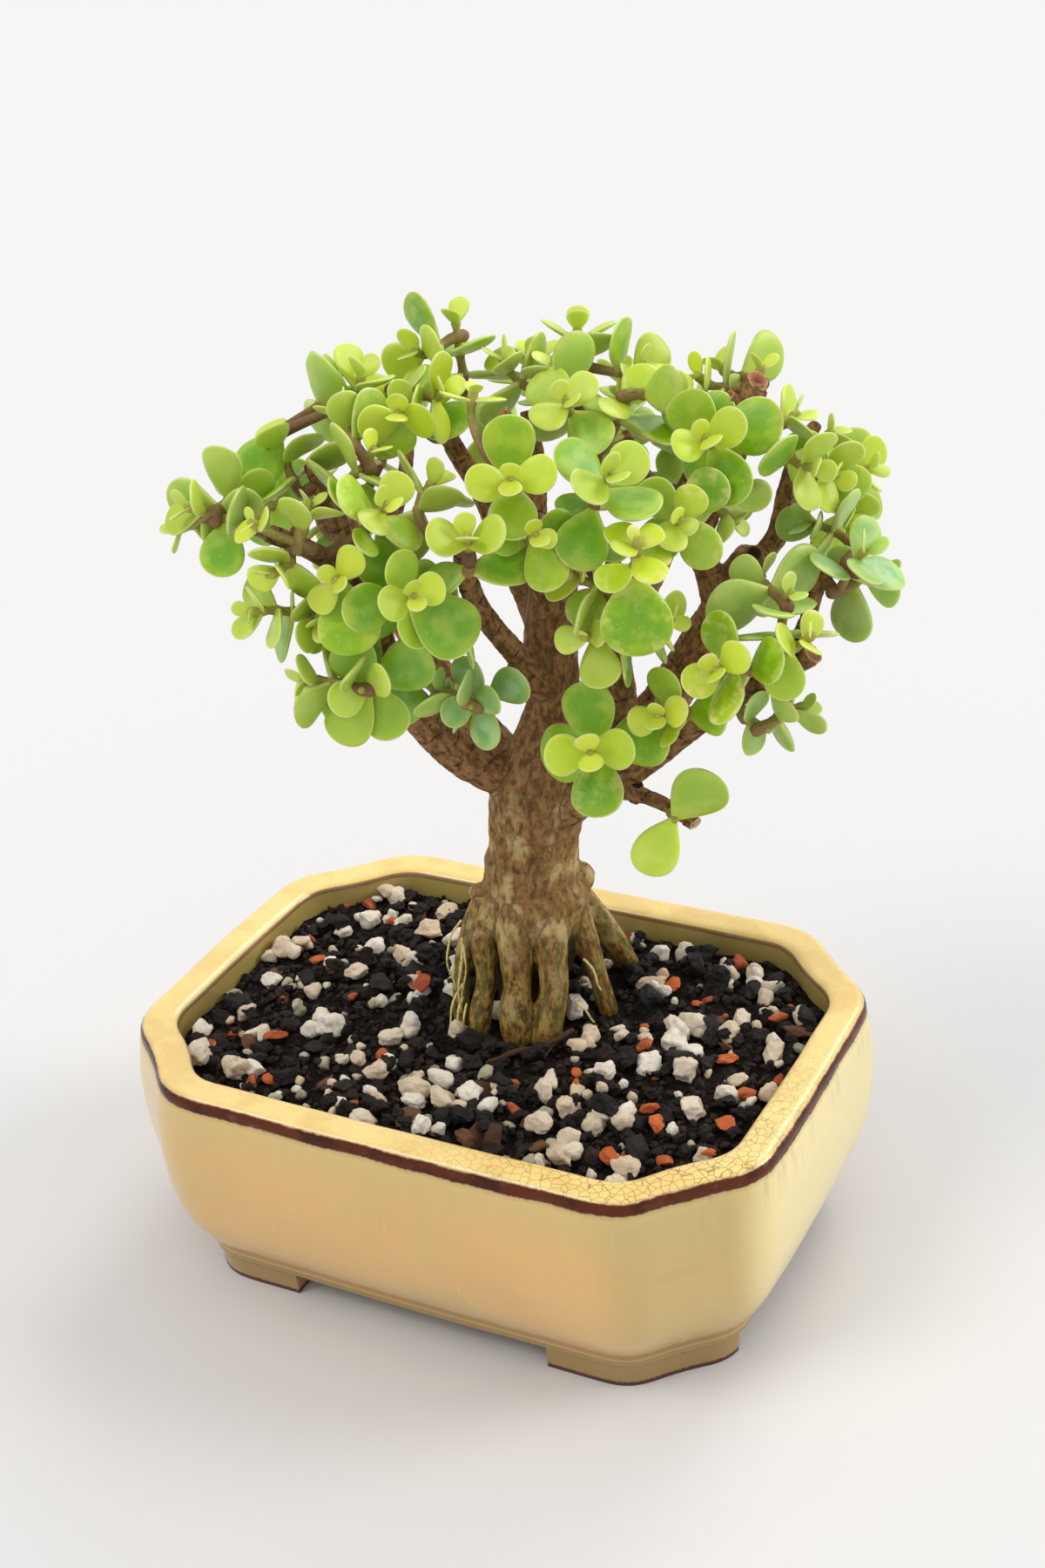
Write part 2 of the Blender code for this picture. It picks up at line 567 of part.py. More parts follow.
def lay_leaves(foliage, name, tip, route, tip_row, taken, chance):
    """The opposite pairs of one tip, each pair turned a quarter against the next."""
    roll, pairs, largest = tip_row[5:8]
    for level, depth in enumerate(pair_depths(tip_row)):
        level_turn = roll + 90 * level + chance.uniform(-8, 8)
        if depth > length_of(route) - NODE_HALF or any(abs(depth - joint) < JOINT_SPACING for joint in taken):
            continue
        foot, axis = point_below(route, depth)
        upright = across(Vector((0, 0, 1)), axis)
        for side in (0, 180):
            size = largest * PAIR_SIZES[pairs][level] * chance.uniform(0.92, 1.06)
            spread = PAIR_SPREADS[pairs][level] + chance.uniform(-6, 6)
            for share, wider, turned in LEAF_TRIES:
                outward = Matrix.Rotation(math.radians(level_turn + side + turned), 3, axis) @ upright
                angle = math.radians(spread + wider)
                pointing = axis * math.cos(angle) + outward * math.sin(angle)
                facing = axis * math.sin(angle) - outward * math.cos(angle)
                place = leaf_place(foot - pointing * LEAF_SINK, pointing, facing)
                if foliage.fits(place, size * share, name):
                    foliage.add(name, tip, depth, place, size * share)
                    break


def lay_lone_leaf(foliage, name, shoot, foot, heading, lift, length):
    """One old leaf, whose foot is moved onto the nearest free place on a stem of its shoot."""
    places = []
    for tip, (route, tip_row) in enumerate(zip(shoot["routes"], shoot["tips"])):
        for depth in free_depths(route, pair_depths(tip_row) + (shoot["forks"] if tip == 0 else [])):
            point, _ = point_below(route, depth)
            places.append(((point - Vector(foot)).length, tip, depth, point))
    _, tip, depth, point = min(places, key=lambda place: place[0])
    for share, wider, turned in LEAF_TRIES:
        pointing = direction(heading + turned, lift + wider)
        place = leaf_place(point - pointing * LEAF_SINK, pointing, Vector((0, -1, 0.7)))
        if foliage.fits(place, length * share, name):
            foliage.add(name, tip, depth, place, length * share)
            return


def grow():
    """Lays all wood first and then all leaves. Returns the shoots and the leaves."""
    wood = Wood()
    carriers = {"trunk": [route_of(TRUNK)]}
    wood.add("trunk", carriers["trunk"][0])
    for root in ROOTS:
        wood.add("trunk", route_of(root))
    for name, routes in LIMBS.items():
        carriers[name] = [route_of(points) for points in routes]
        for route in carriers[name]:
            wood.add(name, route)
    shoots = {}
    for carrier, rows in SHOOTS.items():
        for name, tips in rows:
            start, leave = seat_on(wood, carrier, carriers[carrier], Vector(tips[0][:3]))
            first = lay_stem(wood, name, carrier, start, leave, tips[0])
            wood.add(name, first)
            shoot = {"tips": tips, "forks": [], "routes": [first]}
            for tip_row in tips[1:]:
                depth, start, leave = fork_seat(first, tip_row)
                shoot["forks"].append(depth)
                shoot["routes"].append(lay_stem(wood, name, carrier, start, leave, tip_row))
                wood.add(name, shoot["routes"][-1])
            shoots[name] = shoot
    foliage = Foliage(wood)
    chance = random.Random(SEED)
    for name, foot, heading, lift, length in LONE_LEAVES:
        lay_lone_leaf(foliage, name, shoots[name], foot, heading, lift, length)
    lone = list(foliage.leaves)
    for name, shoot in shoots.items():
        for tip, (route, tip_row) in enumerate(zip(shoot["routes"], shoot["tips"])):
            taken = [leaf["depth"] for leaf in lone if (leaf["name"], leaf["tip"]) == (name, tip)]
            taken += shoot["forks"] if tip == 0 else []
            lay_leaves(foliage, name, tip, route, tip_row, taken, chance)
    return shoots, foliage.leaves


# ---- modelling

TREE = (Matrix.Scale(MM, 4) @ Matrix.Translation((*TREE_PLACE, 0)) @ Matrix.Rotation(TREE_TURN, 4, "Z"))

FINISHES = {
    "glazed_stoneware": ((0.66, 0.46, 0.20), 0.25),
    "black_plastic": ((0.02, 0.02, 0.02), 0.6),
    "potting_mix": ((0.06, 0.045, 0.035), 0.95),
    "bark": ((0.22, 0.13, 0.075), 0.85),
    "leaf": ((0.20, 0.36, 0.05), 0.45),
}
SHARP_ANGLE = math.radians(50)
TRUNK_ROUNDNESS = 4
LIMB_ROUNDNESS = 2
SEAT_ROUNDNESS = 3
DRAIN_HOLE_SEGMENTS = 16
MIX_RINGS = (1.0, 0.78, 0.5, 0.22)  # rings over the mix's surface, as shares of its plan
STRAIGHT = math.radians(175)  # corners of an outline flatter than this aren't rounded
CORNER_SHARE = 0.42  # a rounded corner never takes up more of a side than this


def start_empty():
    for item in list(bpy.data.objects):
        bpy.data.objects.remove(item, do_unlink=True)


def new_collection(name):
    collection = bpy.data.collections.new(name)
    bpy.context.scene.collection.children.link(collection)
    return collection


def painted(name, kind):
    """A material of its own for one piece."""
    colour, roughness = FINISHES[kind]
    material = bpy.data.materials.new(f"{name}_{kind}")
    material.use_nodes = True
    shader = material.node_tree.nodes["Principled BSDF"]
    shader.inputs["Base Color"].default_value = (*colour, 1)
    shader.inputs["Roughness"].default_value = roughness
    shader.inputs["Metallic"].default_value = 0.0
    return material


def add_piece(name, mesh, kind):
    mesh.name = name
    mesh.materials.clear()
    mesh.materials.append(painted(name, kind))
    mesh.shade_smooth()
    mesh.set_sharp_from_angle(angle=SHARP_ANGLE)
    piece = bpy.data.objects.new(name, mesh)
    parts.objects.link(piece)
    return piece


def add_cutter(name, mesh):
    cutter = bpy.data.objects.new(name, mesh)
    cutter.hide_render = True
    cutter.display_type = "WIRE"
    cutters.objects.link(cutter)
    return cutter


def combine(piece, operation, operand):
    """A Boolean whose operand may be several bodies that run into each other."""
    modifier = piece.modifiers.new(f"{operation.lower()}_{operand.name}", "BOOLEAN")
    modifier.operation = operation
    modifier.object = operand
    modifier.solver = "EXACT"
    modifier.use_self = True


def mesh_from(points, faces, name="shape"):
    mesh = bpy.data.meshes.new(name)
    mesh.from_pydata([tuple(point) for point in points], [], faces)
    return mesh


def joined(meshes):
    """One mesh of several closed bodies."""
    shape = bmesh.new()
    for mesh in meshes:
        shape.from_mesh(mesh)
        bpy.data.meshes.remove(mesh)
    mesh = bpy.data.meshes.new("joined")
    shape.to_mesh(mesh)
    shape.free()
    return mesh


def tube(route, resolution, grown=0.0):
    """A tapering tube with closed ends along a route in the tree's frame, as a mesh."""
    curve = bpy.data.curves.new("tube", "CURVE")
    curve.dimensions = "3D"
    curve.bevel_depth = 1.0
    curve.bevel_resolution = resolution
    curve.use_fill_caps = True
    spline = curve.splines.new("POLY")
    spline.points.add(len(route) - 1)
    for knot, (point, radius) in zip(spline.points, route):
        knot.co = (*(TREE @ point), 1)
        knot.radius = (radius + grown) * MM
    holder = bpy.data.objects.new("tube", curve)
    cutters.objects.link(holder)
    bpy.context.view_layer.update()
    seen = holder.evaluated_get(bpy.context.evaluated_depsgraph_get())
    mesh = bpy.data.meshes.new_from_object(seen)
    bpy.data.objects.remove(holder)
    bpy.data.curves.remove(curve)
    shape = bmesh.new()
    shape.from_mesh(mesh)
    bmesh.ops.remove_doubles(shape, verts=shape.verts, dist=WELD_DISTANCE)
    bmesh.ops.recalc_face_normals(shape, faces=shape.faces)
    shape.to_mesh(mesh)
    shape.free()
    return mesh


def ball(x, y, z, radius):
    """A knob on the trunk, as a mesh."""
    shape = bmesh.new()
    bmesh.ops.create_icosphere(shape, subdivisions=1, radius=radius * MM)
    bmesh.ops.translate(shape, verts=shape.verts, vec=TREE @ Vector((x, y, z)))
    mesh = bpy.data.meshes.new("ball")
    shape.to_mesh(mesh)
    shape.free()
    return mesh


def box(low, high):
    shape = bmesh.new()
    bmesh.ops.create_cube(shape, size=1.0)
    low, high = Vector(low) * MM, Vector(high) * MM
    bmesh.ops.scale(shape, verts=shape.verts, vec=high - low)
    bmesh.ops.translate(shape, verts=shape.verts, vec=(low + high) / 2)
    mesh = bpy.data.meshes.new("box")
    shape.to_mesh(mesh)
    shape.free()
    return mesh


def pot_outline(inset):
    """The pot's plan, moved in from the rim: four sides slightly bowed out and four dented corner cuts."""
    half_long, half_wide = POT_LENGTH / 2 - inset, POT_WIDTH / 2 - inset
    cut = CORNER_CUT - (2 - math.sqrt(2)) * inset
    dent = Vector((1, 1)).normalized() * CORNER_DENT
    quarter = [
        Vector((half_long + SIDE_BOW, 0)),
        Vector((half_long, half_wide - cut)),
        Vector((half_long - cut / 2, half_wide - cut / 2)) - dent,
        Vector((half_long - cut, half_wide)),
        Vector((0, half_wide + SIDE_BOW)),
    ]
    turned = [Vector((-p.x, p.y)) for p in reversed(quarter[:-1])]
    half = quarter + turned
    corners = half + [Vector((-p.x, -p.y)) for p in half[1:-1]]
    return rounded(corners)


def rounded(corners):
    """A closed outline with its sharp corners turned into short arcs."""
    outline = []
    for index, corner in enumerate(corners):
        before, after = corners[index - 1], corners[(index + 1) % len(corners)]
        back, ahead = before - corner, after - corner
        if back.angle(ahead) > STRAIGHT:
            outline.append(corner)
            continue
        reach = min(CORNER_ROUND, CORNER_SHARE * back.length, CORNER_SHARE * ahead.length)
        start, end = corner + back.normalized() * reach, corner + ahead.normalized() * reach
        for t in (0, 0.5, 1):
            outline.append(start * (1 - t) ** 2 + corner * 2 * t * (1 - t) + end * t * t)
    return outline


def loft(levels, closed_ends=True):
    """A skin through rings of equal count, with a face over each end, or turned back into a ring."""
    count = len(levels[0])
    points = [Vector(point) * MM for level in levels for point in level]
    faces = []
    last = len(levels) - 1 if closed_ends else len(levels)
    for ring in range(last):
        upper = (ring + 1) % len(levels)
        for index in range(count):
            following = (index + 1) % count
            lower_edge = (ring * count + index, ring * count + following)
            faces.append((*lower_edge, upper * count + following, upper * count + index))
    if closed_ends:
        faces.append(tuple(reversed(range(count))))
        faces.append(tuple(range((len(levels) - 1) * count, len(levels) * count)))
    return mesh_from(points, faces)


def level(height, inset):
    return [(p.x, p.y, height) for p in pot_outline(inset)]


def pot_mesh():
    outside = [level(height, inset) for height, inset in POT_PROFILE]
    inside = [level(height, inset) for height, inset in INNER_PROFILE]
    return loft(outside + inside)


def foot_mesh():
    """A ring under the base, which the gap cutters part into four bracket feet."""
    top = BASE_INSET + FOOT_LEAN
    bottom = BASE_INSET + 2 * FOOT_LEAN
    inner = bottom + FOOT_WIDTH
    rings = [level(0, bottom), level(FOOT_TOP, top), level(FOOT_TOP, inner), level(0, inner)]
    return loft(rings, closed_ends=False)


def add_pot():
    pot = add_piece("pot", pot_mesh(), "glazed_stoneware")
    feet = add_cutter("feet", foot_mesh())
    far = POT_LENGTH
    gap_long = box((-FOOT_GAP_LONG / 2, -far, -1), (FOOT_GAP_LONG / 2, far, FOOT_HEIGHT))
    gap_short = box((-far, -FOOT_GAP_SHORT / 2, -1), (far, FOOT_GAP_SHORT / 2, FOOT_HEIGHT))
    combine(feet, "DIFFERENCE", add_cutter("foot_gaps", joined([gap_long, gap_short])))
    combine(pot, "UNION", feet)
    holes = []
    for side in (-1, 1):
        shape = bmesh.new()
        bmesh.ops.create_cone(
            shape, cap_ends=True, segments=DRAIN_HOLE_SEGMENTS, radius1=DRAIN_HOLE_DIAMETER / 2 * MM,
            radius2=DRAIN_HOLE_DIAMETER / 2 * MM, depth=3 * FLOOR_TOP * MM,
        )
        bmesh.ops.translate(shape, verts=shape.verts, vec=(side * DRAIN_HOLE_SPACING / 2 * MM, 0, 0))
        mesh = bpy.data.meshes.new("drain_hole")
        shape.to_mesh(mesh)
        shape.free()
        holes.append(mesh)
    combine(pot, "DIFFERENCE", add_cutter("drain_holes", joined(holes)))


def mesh_size():
    return MESH_HOLES * MESH_HOLE + (MESH_HOLES + 1) * MESH_BAR


def add_drain_mesh(name, middle_x):
    """A square plastic lattice: bars between rows of square holes, given its thickness by Solidify."""
    edges = [0.0]
    for _ in range(MESH_HOLES):
        edges += [edges[-1] + MESH_BAR, edges[-1] + MESH_BAR + MESH_HOLE]
    edges.append(edges[-1] + MESH_BAR)
    offset = mesh_size() / 2
    height = FLOOR_TOP + GAP
    points = [Vector((middle_x + x - offset, y - offset, height)) * MM for y in edges for x in edges]
    count = len(edges)
    faces = []
    for row in range(count - 1):
        for column in range(count - 1):
            if row % 2 and column % 2:
                continue
            first = row * count + column
            faces.append((first, first + 1, first + count + 1, first + count))
    piece = add_piece(name, mesh_from(points, faces), "black_plastic")
    thickness = piece.modifiers.new("thickness", "SOLIDIFY")
    thickness.thickness = MESH_THICKNESS * MM
    thickness.offset = 1.0


def soil_top(share):
    """A ring of the mix's surface at a share of the pot's plan, with the mix heaped a little inwards."""
    ring = []
    for index, point in enumerate(pot_outline(RIM_WIDTH + INNER_LEAN + GAP)):
        lump = SOIL_LUMP * math.sin(index * 2.4 + share * 9)
        ring.append((point.x * share, point.y * share, SOIL_HEIGHT + SOIL_MOUND * (1 - share ** 2) + lump))
    return ring


def add_potting_mix():
    below = [row for row in reversed(INNER_PROFILE) if row[0] < SOIL_HEIGHT]
    sides = [level(height + GAP, inset + GAP) for height, inset in below]
    mesh = loft(sides + [soil_top(share) for share in MIX_RINGS])
    mix = add_piece("potting_mix", mesh, "potting_mix")
    reach = mesh_size() / 2 + GAP
    pockets = []
    for side in (-1, 1):
        middle = side * DRAIN_HOLE_SPACING / 2
        top = FLOOR_TOP + MESH_THICKNESS + 2 * GAP
        pockets.append(box((middle - reach, -reach, 0), (middle + reach, reach, top)))
    combine(mix, "DIFFERENCE", add_cutter("mesh_pockets", joined(pockets)))
    combine(mix, "DIFFERENCE", add_cutter("root_pocket", joined(trunk_meshes(GAP))))


def trunk_meshes(grown=0.0):
    """The trunk, its roots and its knobs, as meshes that run into each other."""
    meshes = [tube(route_of(TRUNK), TRUNK_ROUNDNESS, grown)]
    meshes += [tube(route_of(root), LIMB_ROUNDNESS, grown) for root in ROOTS]
    meshes += [ball(x, y, z, radius + grown) for x, y, z, radius in KNOBS]
    return meshes


def add_trunk():
    stem, *rest = trunk_meshes()
    trunk = add_piece("trunk", stem, "bark")
    combine(trunk, "UNION", add_cutter("roots_and_knobs", joined(rest)))


def seat_meshes(earlier):
    """The wood that a limb springs from or passes, with a gap round it: trunk and limbs laid before."""
    feet = [route_of(routes[0][:LIMB_FOOT_KNOTS]) for routes in earlier]
    seats = [tube(route_of(TRUNK), TRUNK_ROUNDNESS, GAP)]
    return seats + [tube(foot, SEAT_ROUNDNESS, GAP) for foot in feet]


def add_limbs():
    """Each limb springs from the trunk and keeps clear of it and of the limbs laid before it."""
    earlier = []
    for name, routes in LIMBS.items():
        first, *forks = [tube(route_of(points), LIMB_ROUNDNESS) for points in routes]
        limb = add_piece(name, first, "bark")
        if forks:
            combine(limb, "UNION", add_cutter(f"{name}_forks", joined(forks)))
        combine(limb, "DIFFERENCE", add_cutter(f"{name}_seat", joined(seat_meshes(earlier))))
        earlier.append(routes)


def extruded(shape, face):
    """Draws a face out. Returns the new end face and the faces left round its sides."""
    end = bmesh.ops.extrude_discrete_faces(shape, faces=[face])["faces"][0]
    sides = [other for edge in end.edges for other in edge.link_faces if other is not end]
    return end, sides


def square_ring(point, heading, upright, radius):
    """Four corners round a stem, between the directions that its leaves take."""
    turn = Matrix.Rotation(math.radians(45), 3, heading)
    corners = []
    for _ in range(4):
        corners.append(point + turn @ upright * radius)
        turn = Matrix.Rotation(math.radians(90), 3, heading) @ turn
    return corners


def ring_depths(route, joints):
    """Depths below the tip where a stem has a ring, lowest first: its bends and both sides of each joint."""
    total = length_of(route)
    rings = {0.0, total}
    for joint in joints:
        rings |= {joint - NODE_HALF, min(total, joint + NODE_HALF)}
    bend = total
    for (start, _), (end, _) in list(zip(route, route[1:]))[:-1]:
        bend -= (end - start).length
        if all(abs(bend - ring) > JOINT_SPACING for ring in rings):
            rings.add(bend)
    return sorted(rings, reverse=True)


def stem_rings(route, roll, joints):
    """The square rings of a stem, each with its depth."""
    total = length_of(route)
    rings = []
    for depth in ring_depths(route, joints):
        point, heading = point_below(route, min(depth, total - 1e-3))
        upright = Matrix.Rotation(math.radians(roll), 3, heading) @ across(Vector((0, 0, 1)), heading)
        radius = STEM_TIP_RADIUS + (route[0][1] - STEM_TIP_RADIUS) * depth / total
        corners = square_ring(point, heading, upright, radius * SQUARE_REACH)
        rings.append((depth, [TREE @ corner for corner in corners]))
    return rings


def draw_stem(shape, end, rings, joints):
    """Draws a face out through a stem's rings. Returns the side faces at each joint."""
    joint_faces = {}
    lower = rings[0][0]
    for depth, ring in rings[1:]:
        end, sides = extruded(shape, end)
        for corner, spot in zip(fitted(end, ring), ring):
            corner.co = spot
        for joint in joints:
            if depth < joint < lower:
                joint_faces[joint] = sides
        lower = depth
    return joint_faces


def take_face(free, pointing):
    """Takes the side face of a joint that looks most nearly along a direction."""
    for face in free:
        face.normal_update()
    face = max(free, key=lambda f: f.normal.dot(pointing))
    free.remove(face)
    return face


def shoot_mesh(shoot, leaves):
    """A shoot drawn out of one small face: its first stem, its forks and a blade on a side of each joint."""
    shape = bmesh.new()
    first = {}
    for tip, (route, tip_row) in enumerate(zip(shoot["routes"], shoot["tips"])):
        own = [leaf for leaf in leaves if leaf["tip"] == tip]
        joints = {leaf["depth"] for leaf in own} | set(shoot["forks"] if tip == 0 else ())
        rings = stem_rings(route, tip_row[5], joints)
        if tip == 0:
            foot = [shape.verts.new(corner) for corner in rings[0][1]]
            start = shape.faces.new(foot)
        else:
            leave = TREE.to_3x3() @ (route[1][0] - route[0][0])
            start = take_face(first[shoot["forks"][tip - 1]], leave.normalized())
            rings = [rings[0]] + [ring for ring in rings[1:] if ring[0] < rings[0][0] - route[0][1]]
        joint_faces = draw_stem(shape, start, rings, joints)
        if tip == 0:
            shape.faces.new(foot)
            first = joint_faces
        for leaf in own:
            pointing = (TREE.to_3x3() @ leaf["place"].col[0].to_3d()).normalized()
            add_blade(shape, take_face(joint_faces[leaf["depth"]], pointing), leaf)
    bmesh.ops.remove_doubles(shape, verts=shape.verts, dist=WELD_DISTANCE)
    bmesh.ops.recalc_face_normals(shape, faces=shape.faces)
    mesh = bpy.data.meshes.new("shoot")
    shape.to_mesh(mesh)
    shape.free()
    return mesh


def fitted(face, spots):
    """A face's corners put in the order of four spots round the same centre line, for the least twist."""
    corners = list(face.verts)
    centre = sum((corner.co for corner in corners), Vector()) / 4
    middle = sum(spots, Vector()) / 4
    orders = [row[turn:] + row[:turn] for row in (corners, corners[::-1]) for turn in range(4)]

    def likeness(order):
        pairs = [(corner.co - centre, spot - middle) for corner, spot in zip(order, spots)]
        return sum(own.normalized().dot(wanted.normalized()) for own, wanted in pairs)

    return max(orders, key=likeness)


def add_blade(shape, face, leaf):
    """Draws one blade out of a stem face: first to its belly, then to its round end, which is an edge."""
    place, length = leaf["place"], leaf["length"]
    half = length * LEAF_HALF_WIDTH
    left, right = (place @ Vector((LEAF_BELLY[0] * length, y * half, 0)) for y in (1, -1))
    top, bottom = leaf_crown(place, length)
    end_x, end_half = LEAF_END[0] * length, LEAF_END[1] * half
    end_left, end_right = (place @ Vector((end_x, y * end_half, 0)) for y in (1, -1))
    spots = [TREE @ spot for spot in (left, top, right, bottom)]
    ends = [TREE @ spot for spot in (end_left, end_left, end_right, end_right)]
    belly, _ = extruded(shape, face)
    for corner, spot in zip(fitted(belly, spots), spots):
        corner.co = spot
    end, _ = extruded(shape, belly)
    for corner in end.verts:
        nearest = min(range(4), key=lambda index: (corner.co - spots[index]).length)
        corner.co = ends[nearest]


def add_shoots():
    shoots, leaves = grow()
    for name, shoot in shoots.items():
        add_piece(name, shoot_mesh(shoot, [leaf for leaf in leaves if leaf["name"] == name]), "leaf")


def stand_on_origin():
    """Moves every piece so that the whole stands on the origin, with the middle of its box over it."""
    bpy.context.view_layer.update()
    depsgraph = bpy.context.evaluated_depsgraph_get()
    places = []
    for piece in parts.objects:
        seen = piece.evaluated_get(depsgraph)
        places += [seen.matrix_world @ vertex.co for vertex in seen.data.vertices]
    low = Vector(min(place[axis] for place in places) for axis in range(3))
    high = Vector(max(place[axis] for place in places) for axis in range(3))
    shift = Vector((-(low.x + high.x) / 2, -(low.y + high.y) / 2, -low.z))
    for item in [*parts.objects, *cutters.objects]:
        item.location = item.location + shift


start_empty()
parts = new_collection("dwarf_jade_bonsai")
cutters = new_collection("cutters")
add_pot()
add_drain_mesh("drain_mesh_left", -DRAIN_HOLE_SPACING / 2)
add_drain_mesh("drain_mesh_right", DRAIN_HOLE_SPACING / 2)
add_potting_mix()
add_trunk()
add_limbs()
add_shoots()
stand_on_origin()
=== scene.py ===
import math
import random

import bmesh
import bpy
import numpy as np
from mathutils import Matrix, Vector, noise
from mathutils.bvhtree import BVHTree
from mathutils.kdtree import KDTree


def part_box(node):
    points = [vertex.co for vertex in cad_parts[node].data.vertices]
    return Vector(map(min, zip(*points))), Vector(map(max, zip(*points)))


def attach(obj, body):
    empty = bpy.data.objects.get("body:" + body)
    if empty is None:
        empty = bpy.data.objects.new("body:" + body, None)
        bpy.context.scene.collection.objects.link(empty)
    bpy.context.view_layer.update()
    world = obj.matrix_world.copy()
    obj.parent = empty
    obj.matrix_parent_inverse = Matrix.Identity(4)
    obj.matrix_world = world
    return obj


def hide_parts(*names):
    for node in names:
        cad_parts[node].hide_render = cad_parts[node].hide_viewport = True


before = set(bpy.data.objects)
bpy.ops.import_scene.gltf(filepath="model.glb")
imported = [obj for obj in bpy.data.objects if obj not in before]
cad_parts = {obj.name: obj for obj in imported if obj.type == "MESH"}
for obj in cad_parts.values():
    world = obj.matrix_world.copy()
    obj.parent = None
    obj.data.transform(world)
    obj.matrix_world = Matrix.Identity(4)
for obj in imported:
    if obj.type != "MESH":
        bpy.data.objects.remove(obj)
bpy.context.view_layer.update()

mm = 0.001
potLow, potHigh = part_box("pot")
potPlace = Vector(((potLow.x + potHigh.x) / 2, (potLow.y + potHigh.y) / 2, potLow.z))
print("frame loaded,", len(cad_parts), "solids")


# camera, floor and lights
view = {
    "azimuth": 28.1,
    "elevation": 27.6,
    "roll": -4.0,
    "distance": 504,  # mm from the aim
    "aim": (-2.4, 22.5, 100),  # mm from the middle of the pot's underside
    "sensor": 36,
    "lens": 51.88,
    "clip": (0.02, 100),  # m
}
studio = {
    "floorSize": 40.0,  # m across, so that it runs past the view on all sides
    "lampAim": (0, 0, 0.09),  # m from the middle of the pot's underside
    "floorColour": "#DAD9D9",
    "sky": "#FBFCFF",
    "skyStrength": 0.78,
    "spread": 27,  # degrees that each softbox takes up as the object sees it, so its shadow is soft
    # where each stands from the object, its strength in W per square metre, and its colour
    "lamps": {
        "keySoftbox": ((-3.0, -3.3, 5.6), 0.88, "#FFFAF2"),
        "sideSoftbox": ((5.0, 3.0, 3.5), 1.22, "#FFFDF8"),
        "rearSoftbox": ((0.5, 5.0, 5.0), 0.72, "#FFFFFF"),
    },
}


def hexColour(text):  # sRGB hex to the linear values that Blender works in
    parts = [int(text[i:i + 2], 16) / 255 for i in (1, 3, 5)]
    return [c / 12.92 if c <= 0.04045 else ((c + 0.055) / 1.055) ** 2.4 for c in parts] + [1.0]


def sceneObject(name, data):
    thing = bpy.data.objects.new(name, data)
    bpy.context.scene.collection.objects.link(thing)
    return thing


def addNode(tree, kind, inputs=None, output=0, **settings):  # gives back one of the node's outputs
    node = tree.nodes.new("ShaderNode" + kind)
    for name, value in settings.items():
        setattr(node, name, value)
    for name, value in (inputs or {}).items():
        if isinstance(value, bpy.types.NodeSocket):
            tree.links.new(value, node.inputs[name])
        else:
            node.inputs[name].default_value = hexColour(value) if isinstance(value, str) else value
    return node.outputs[output]


# A material, and what its colours can follow: the place on the object in mm, numbers that the mesh keeps, and
# smooth patterns, each as (size of its lumps in mm, octaves, roughness, and its place if not the usual one)
def startMaterial(name, shaderValues, patterns=None, numbers=()):
    material = bpy.data.materials.new(name)
    material.use_nodes = True
    tree = material.node_tree
    shader = tree.nodes["Principled BSDF"]
    for socket, value in shaderValues.items():
        shader.inputs[socket].default_value = value
    metres = addNode(tree, "TexCoord", output="Object")
    read = {"place": addNode(tree, "VectorMath", {0: metres, 1: (1000, 1000, 1000)}, operation="MULTIPLY")}
    read["height"] = addNode(tree, "SeparateXYZ", {0: read["place"]}, "Z")
    for number in numbers:
        kept = "Vector" if number.endswith("Place") else "Fac"
        read[number] = addNode(tree, "Attribute", output=kept, attribute_name=number)
    for pattern, (lump, octaves, rough, *place) in (patterns or {}).items():
        perMm = [1 / size for size in (lump if isinstance(lump, tuple) else (lump, lump, lump))]
        scaled = addNode(tree, "Mapping", {"Vector": read[(place or ["place"])[0]], "Scale": perMm})
        read[pattern] = addNode(tree, "TexNoise", {"Vector": scaled, "Scale": 1.0, "Detail": octaves,
                                                   "Roughness": rough})
    return material, tree, shader, read


# Colours laid over one another. Each coat is (value, where it starts, where it is full, its most, colour)
def addCoats(tree, tone, coats):
    for value, start, full, most, colour in coats:
        ends = {"Value": value, "From Min": start, "From Max": full, "To Max": most}
        share = addNode(tree, "MapRange", ends, interpolation_type="SMOOTHSTEP")
        tone = addNode(tree, "Mix", {0: share, 6: tone, 7: colour}, 2, data_type="RGBA")
    return tone


def finishMaterial(material, tone, relief):  # relief: height, how deep it goes in mm, strength
    tree = material.node_tree
    shader = tree.nodes["Principled BSDF"]
    tree.links.new(tone, shader.inputs["Base Color"])
    normal = addNode(tree, "NewGeometry", output="Normal")
    for height, deep, strength in relief:
        normal = addNode(tree, "Bump", {"Height": height, "Distance": deep * mm, "Strength": strength,
                                        "Normal": normal})
    tree.links.new(normal, shader.inputs["Normal"])
    return material


def ageRamp(tree, value, stops):  # colours along a value
    ramp = addNode(tree, "ValToRGB", {"Fac": value})
    elements = ramp.node.color_ramp.elements
    while len(elements) < len(stops):
        elements.new(0.5)
    for element, (position, colour) in zip(elements, stops):
        element.position, element.color = position, hexColour(colour)
    return ramp


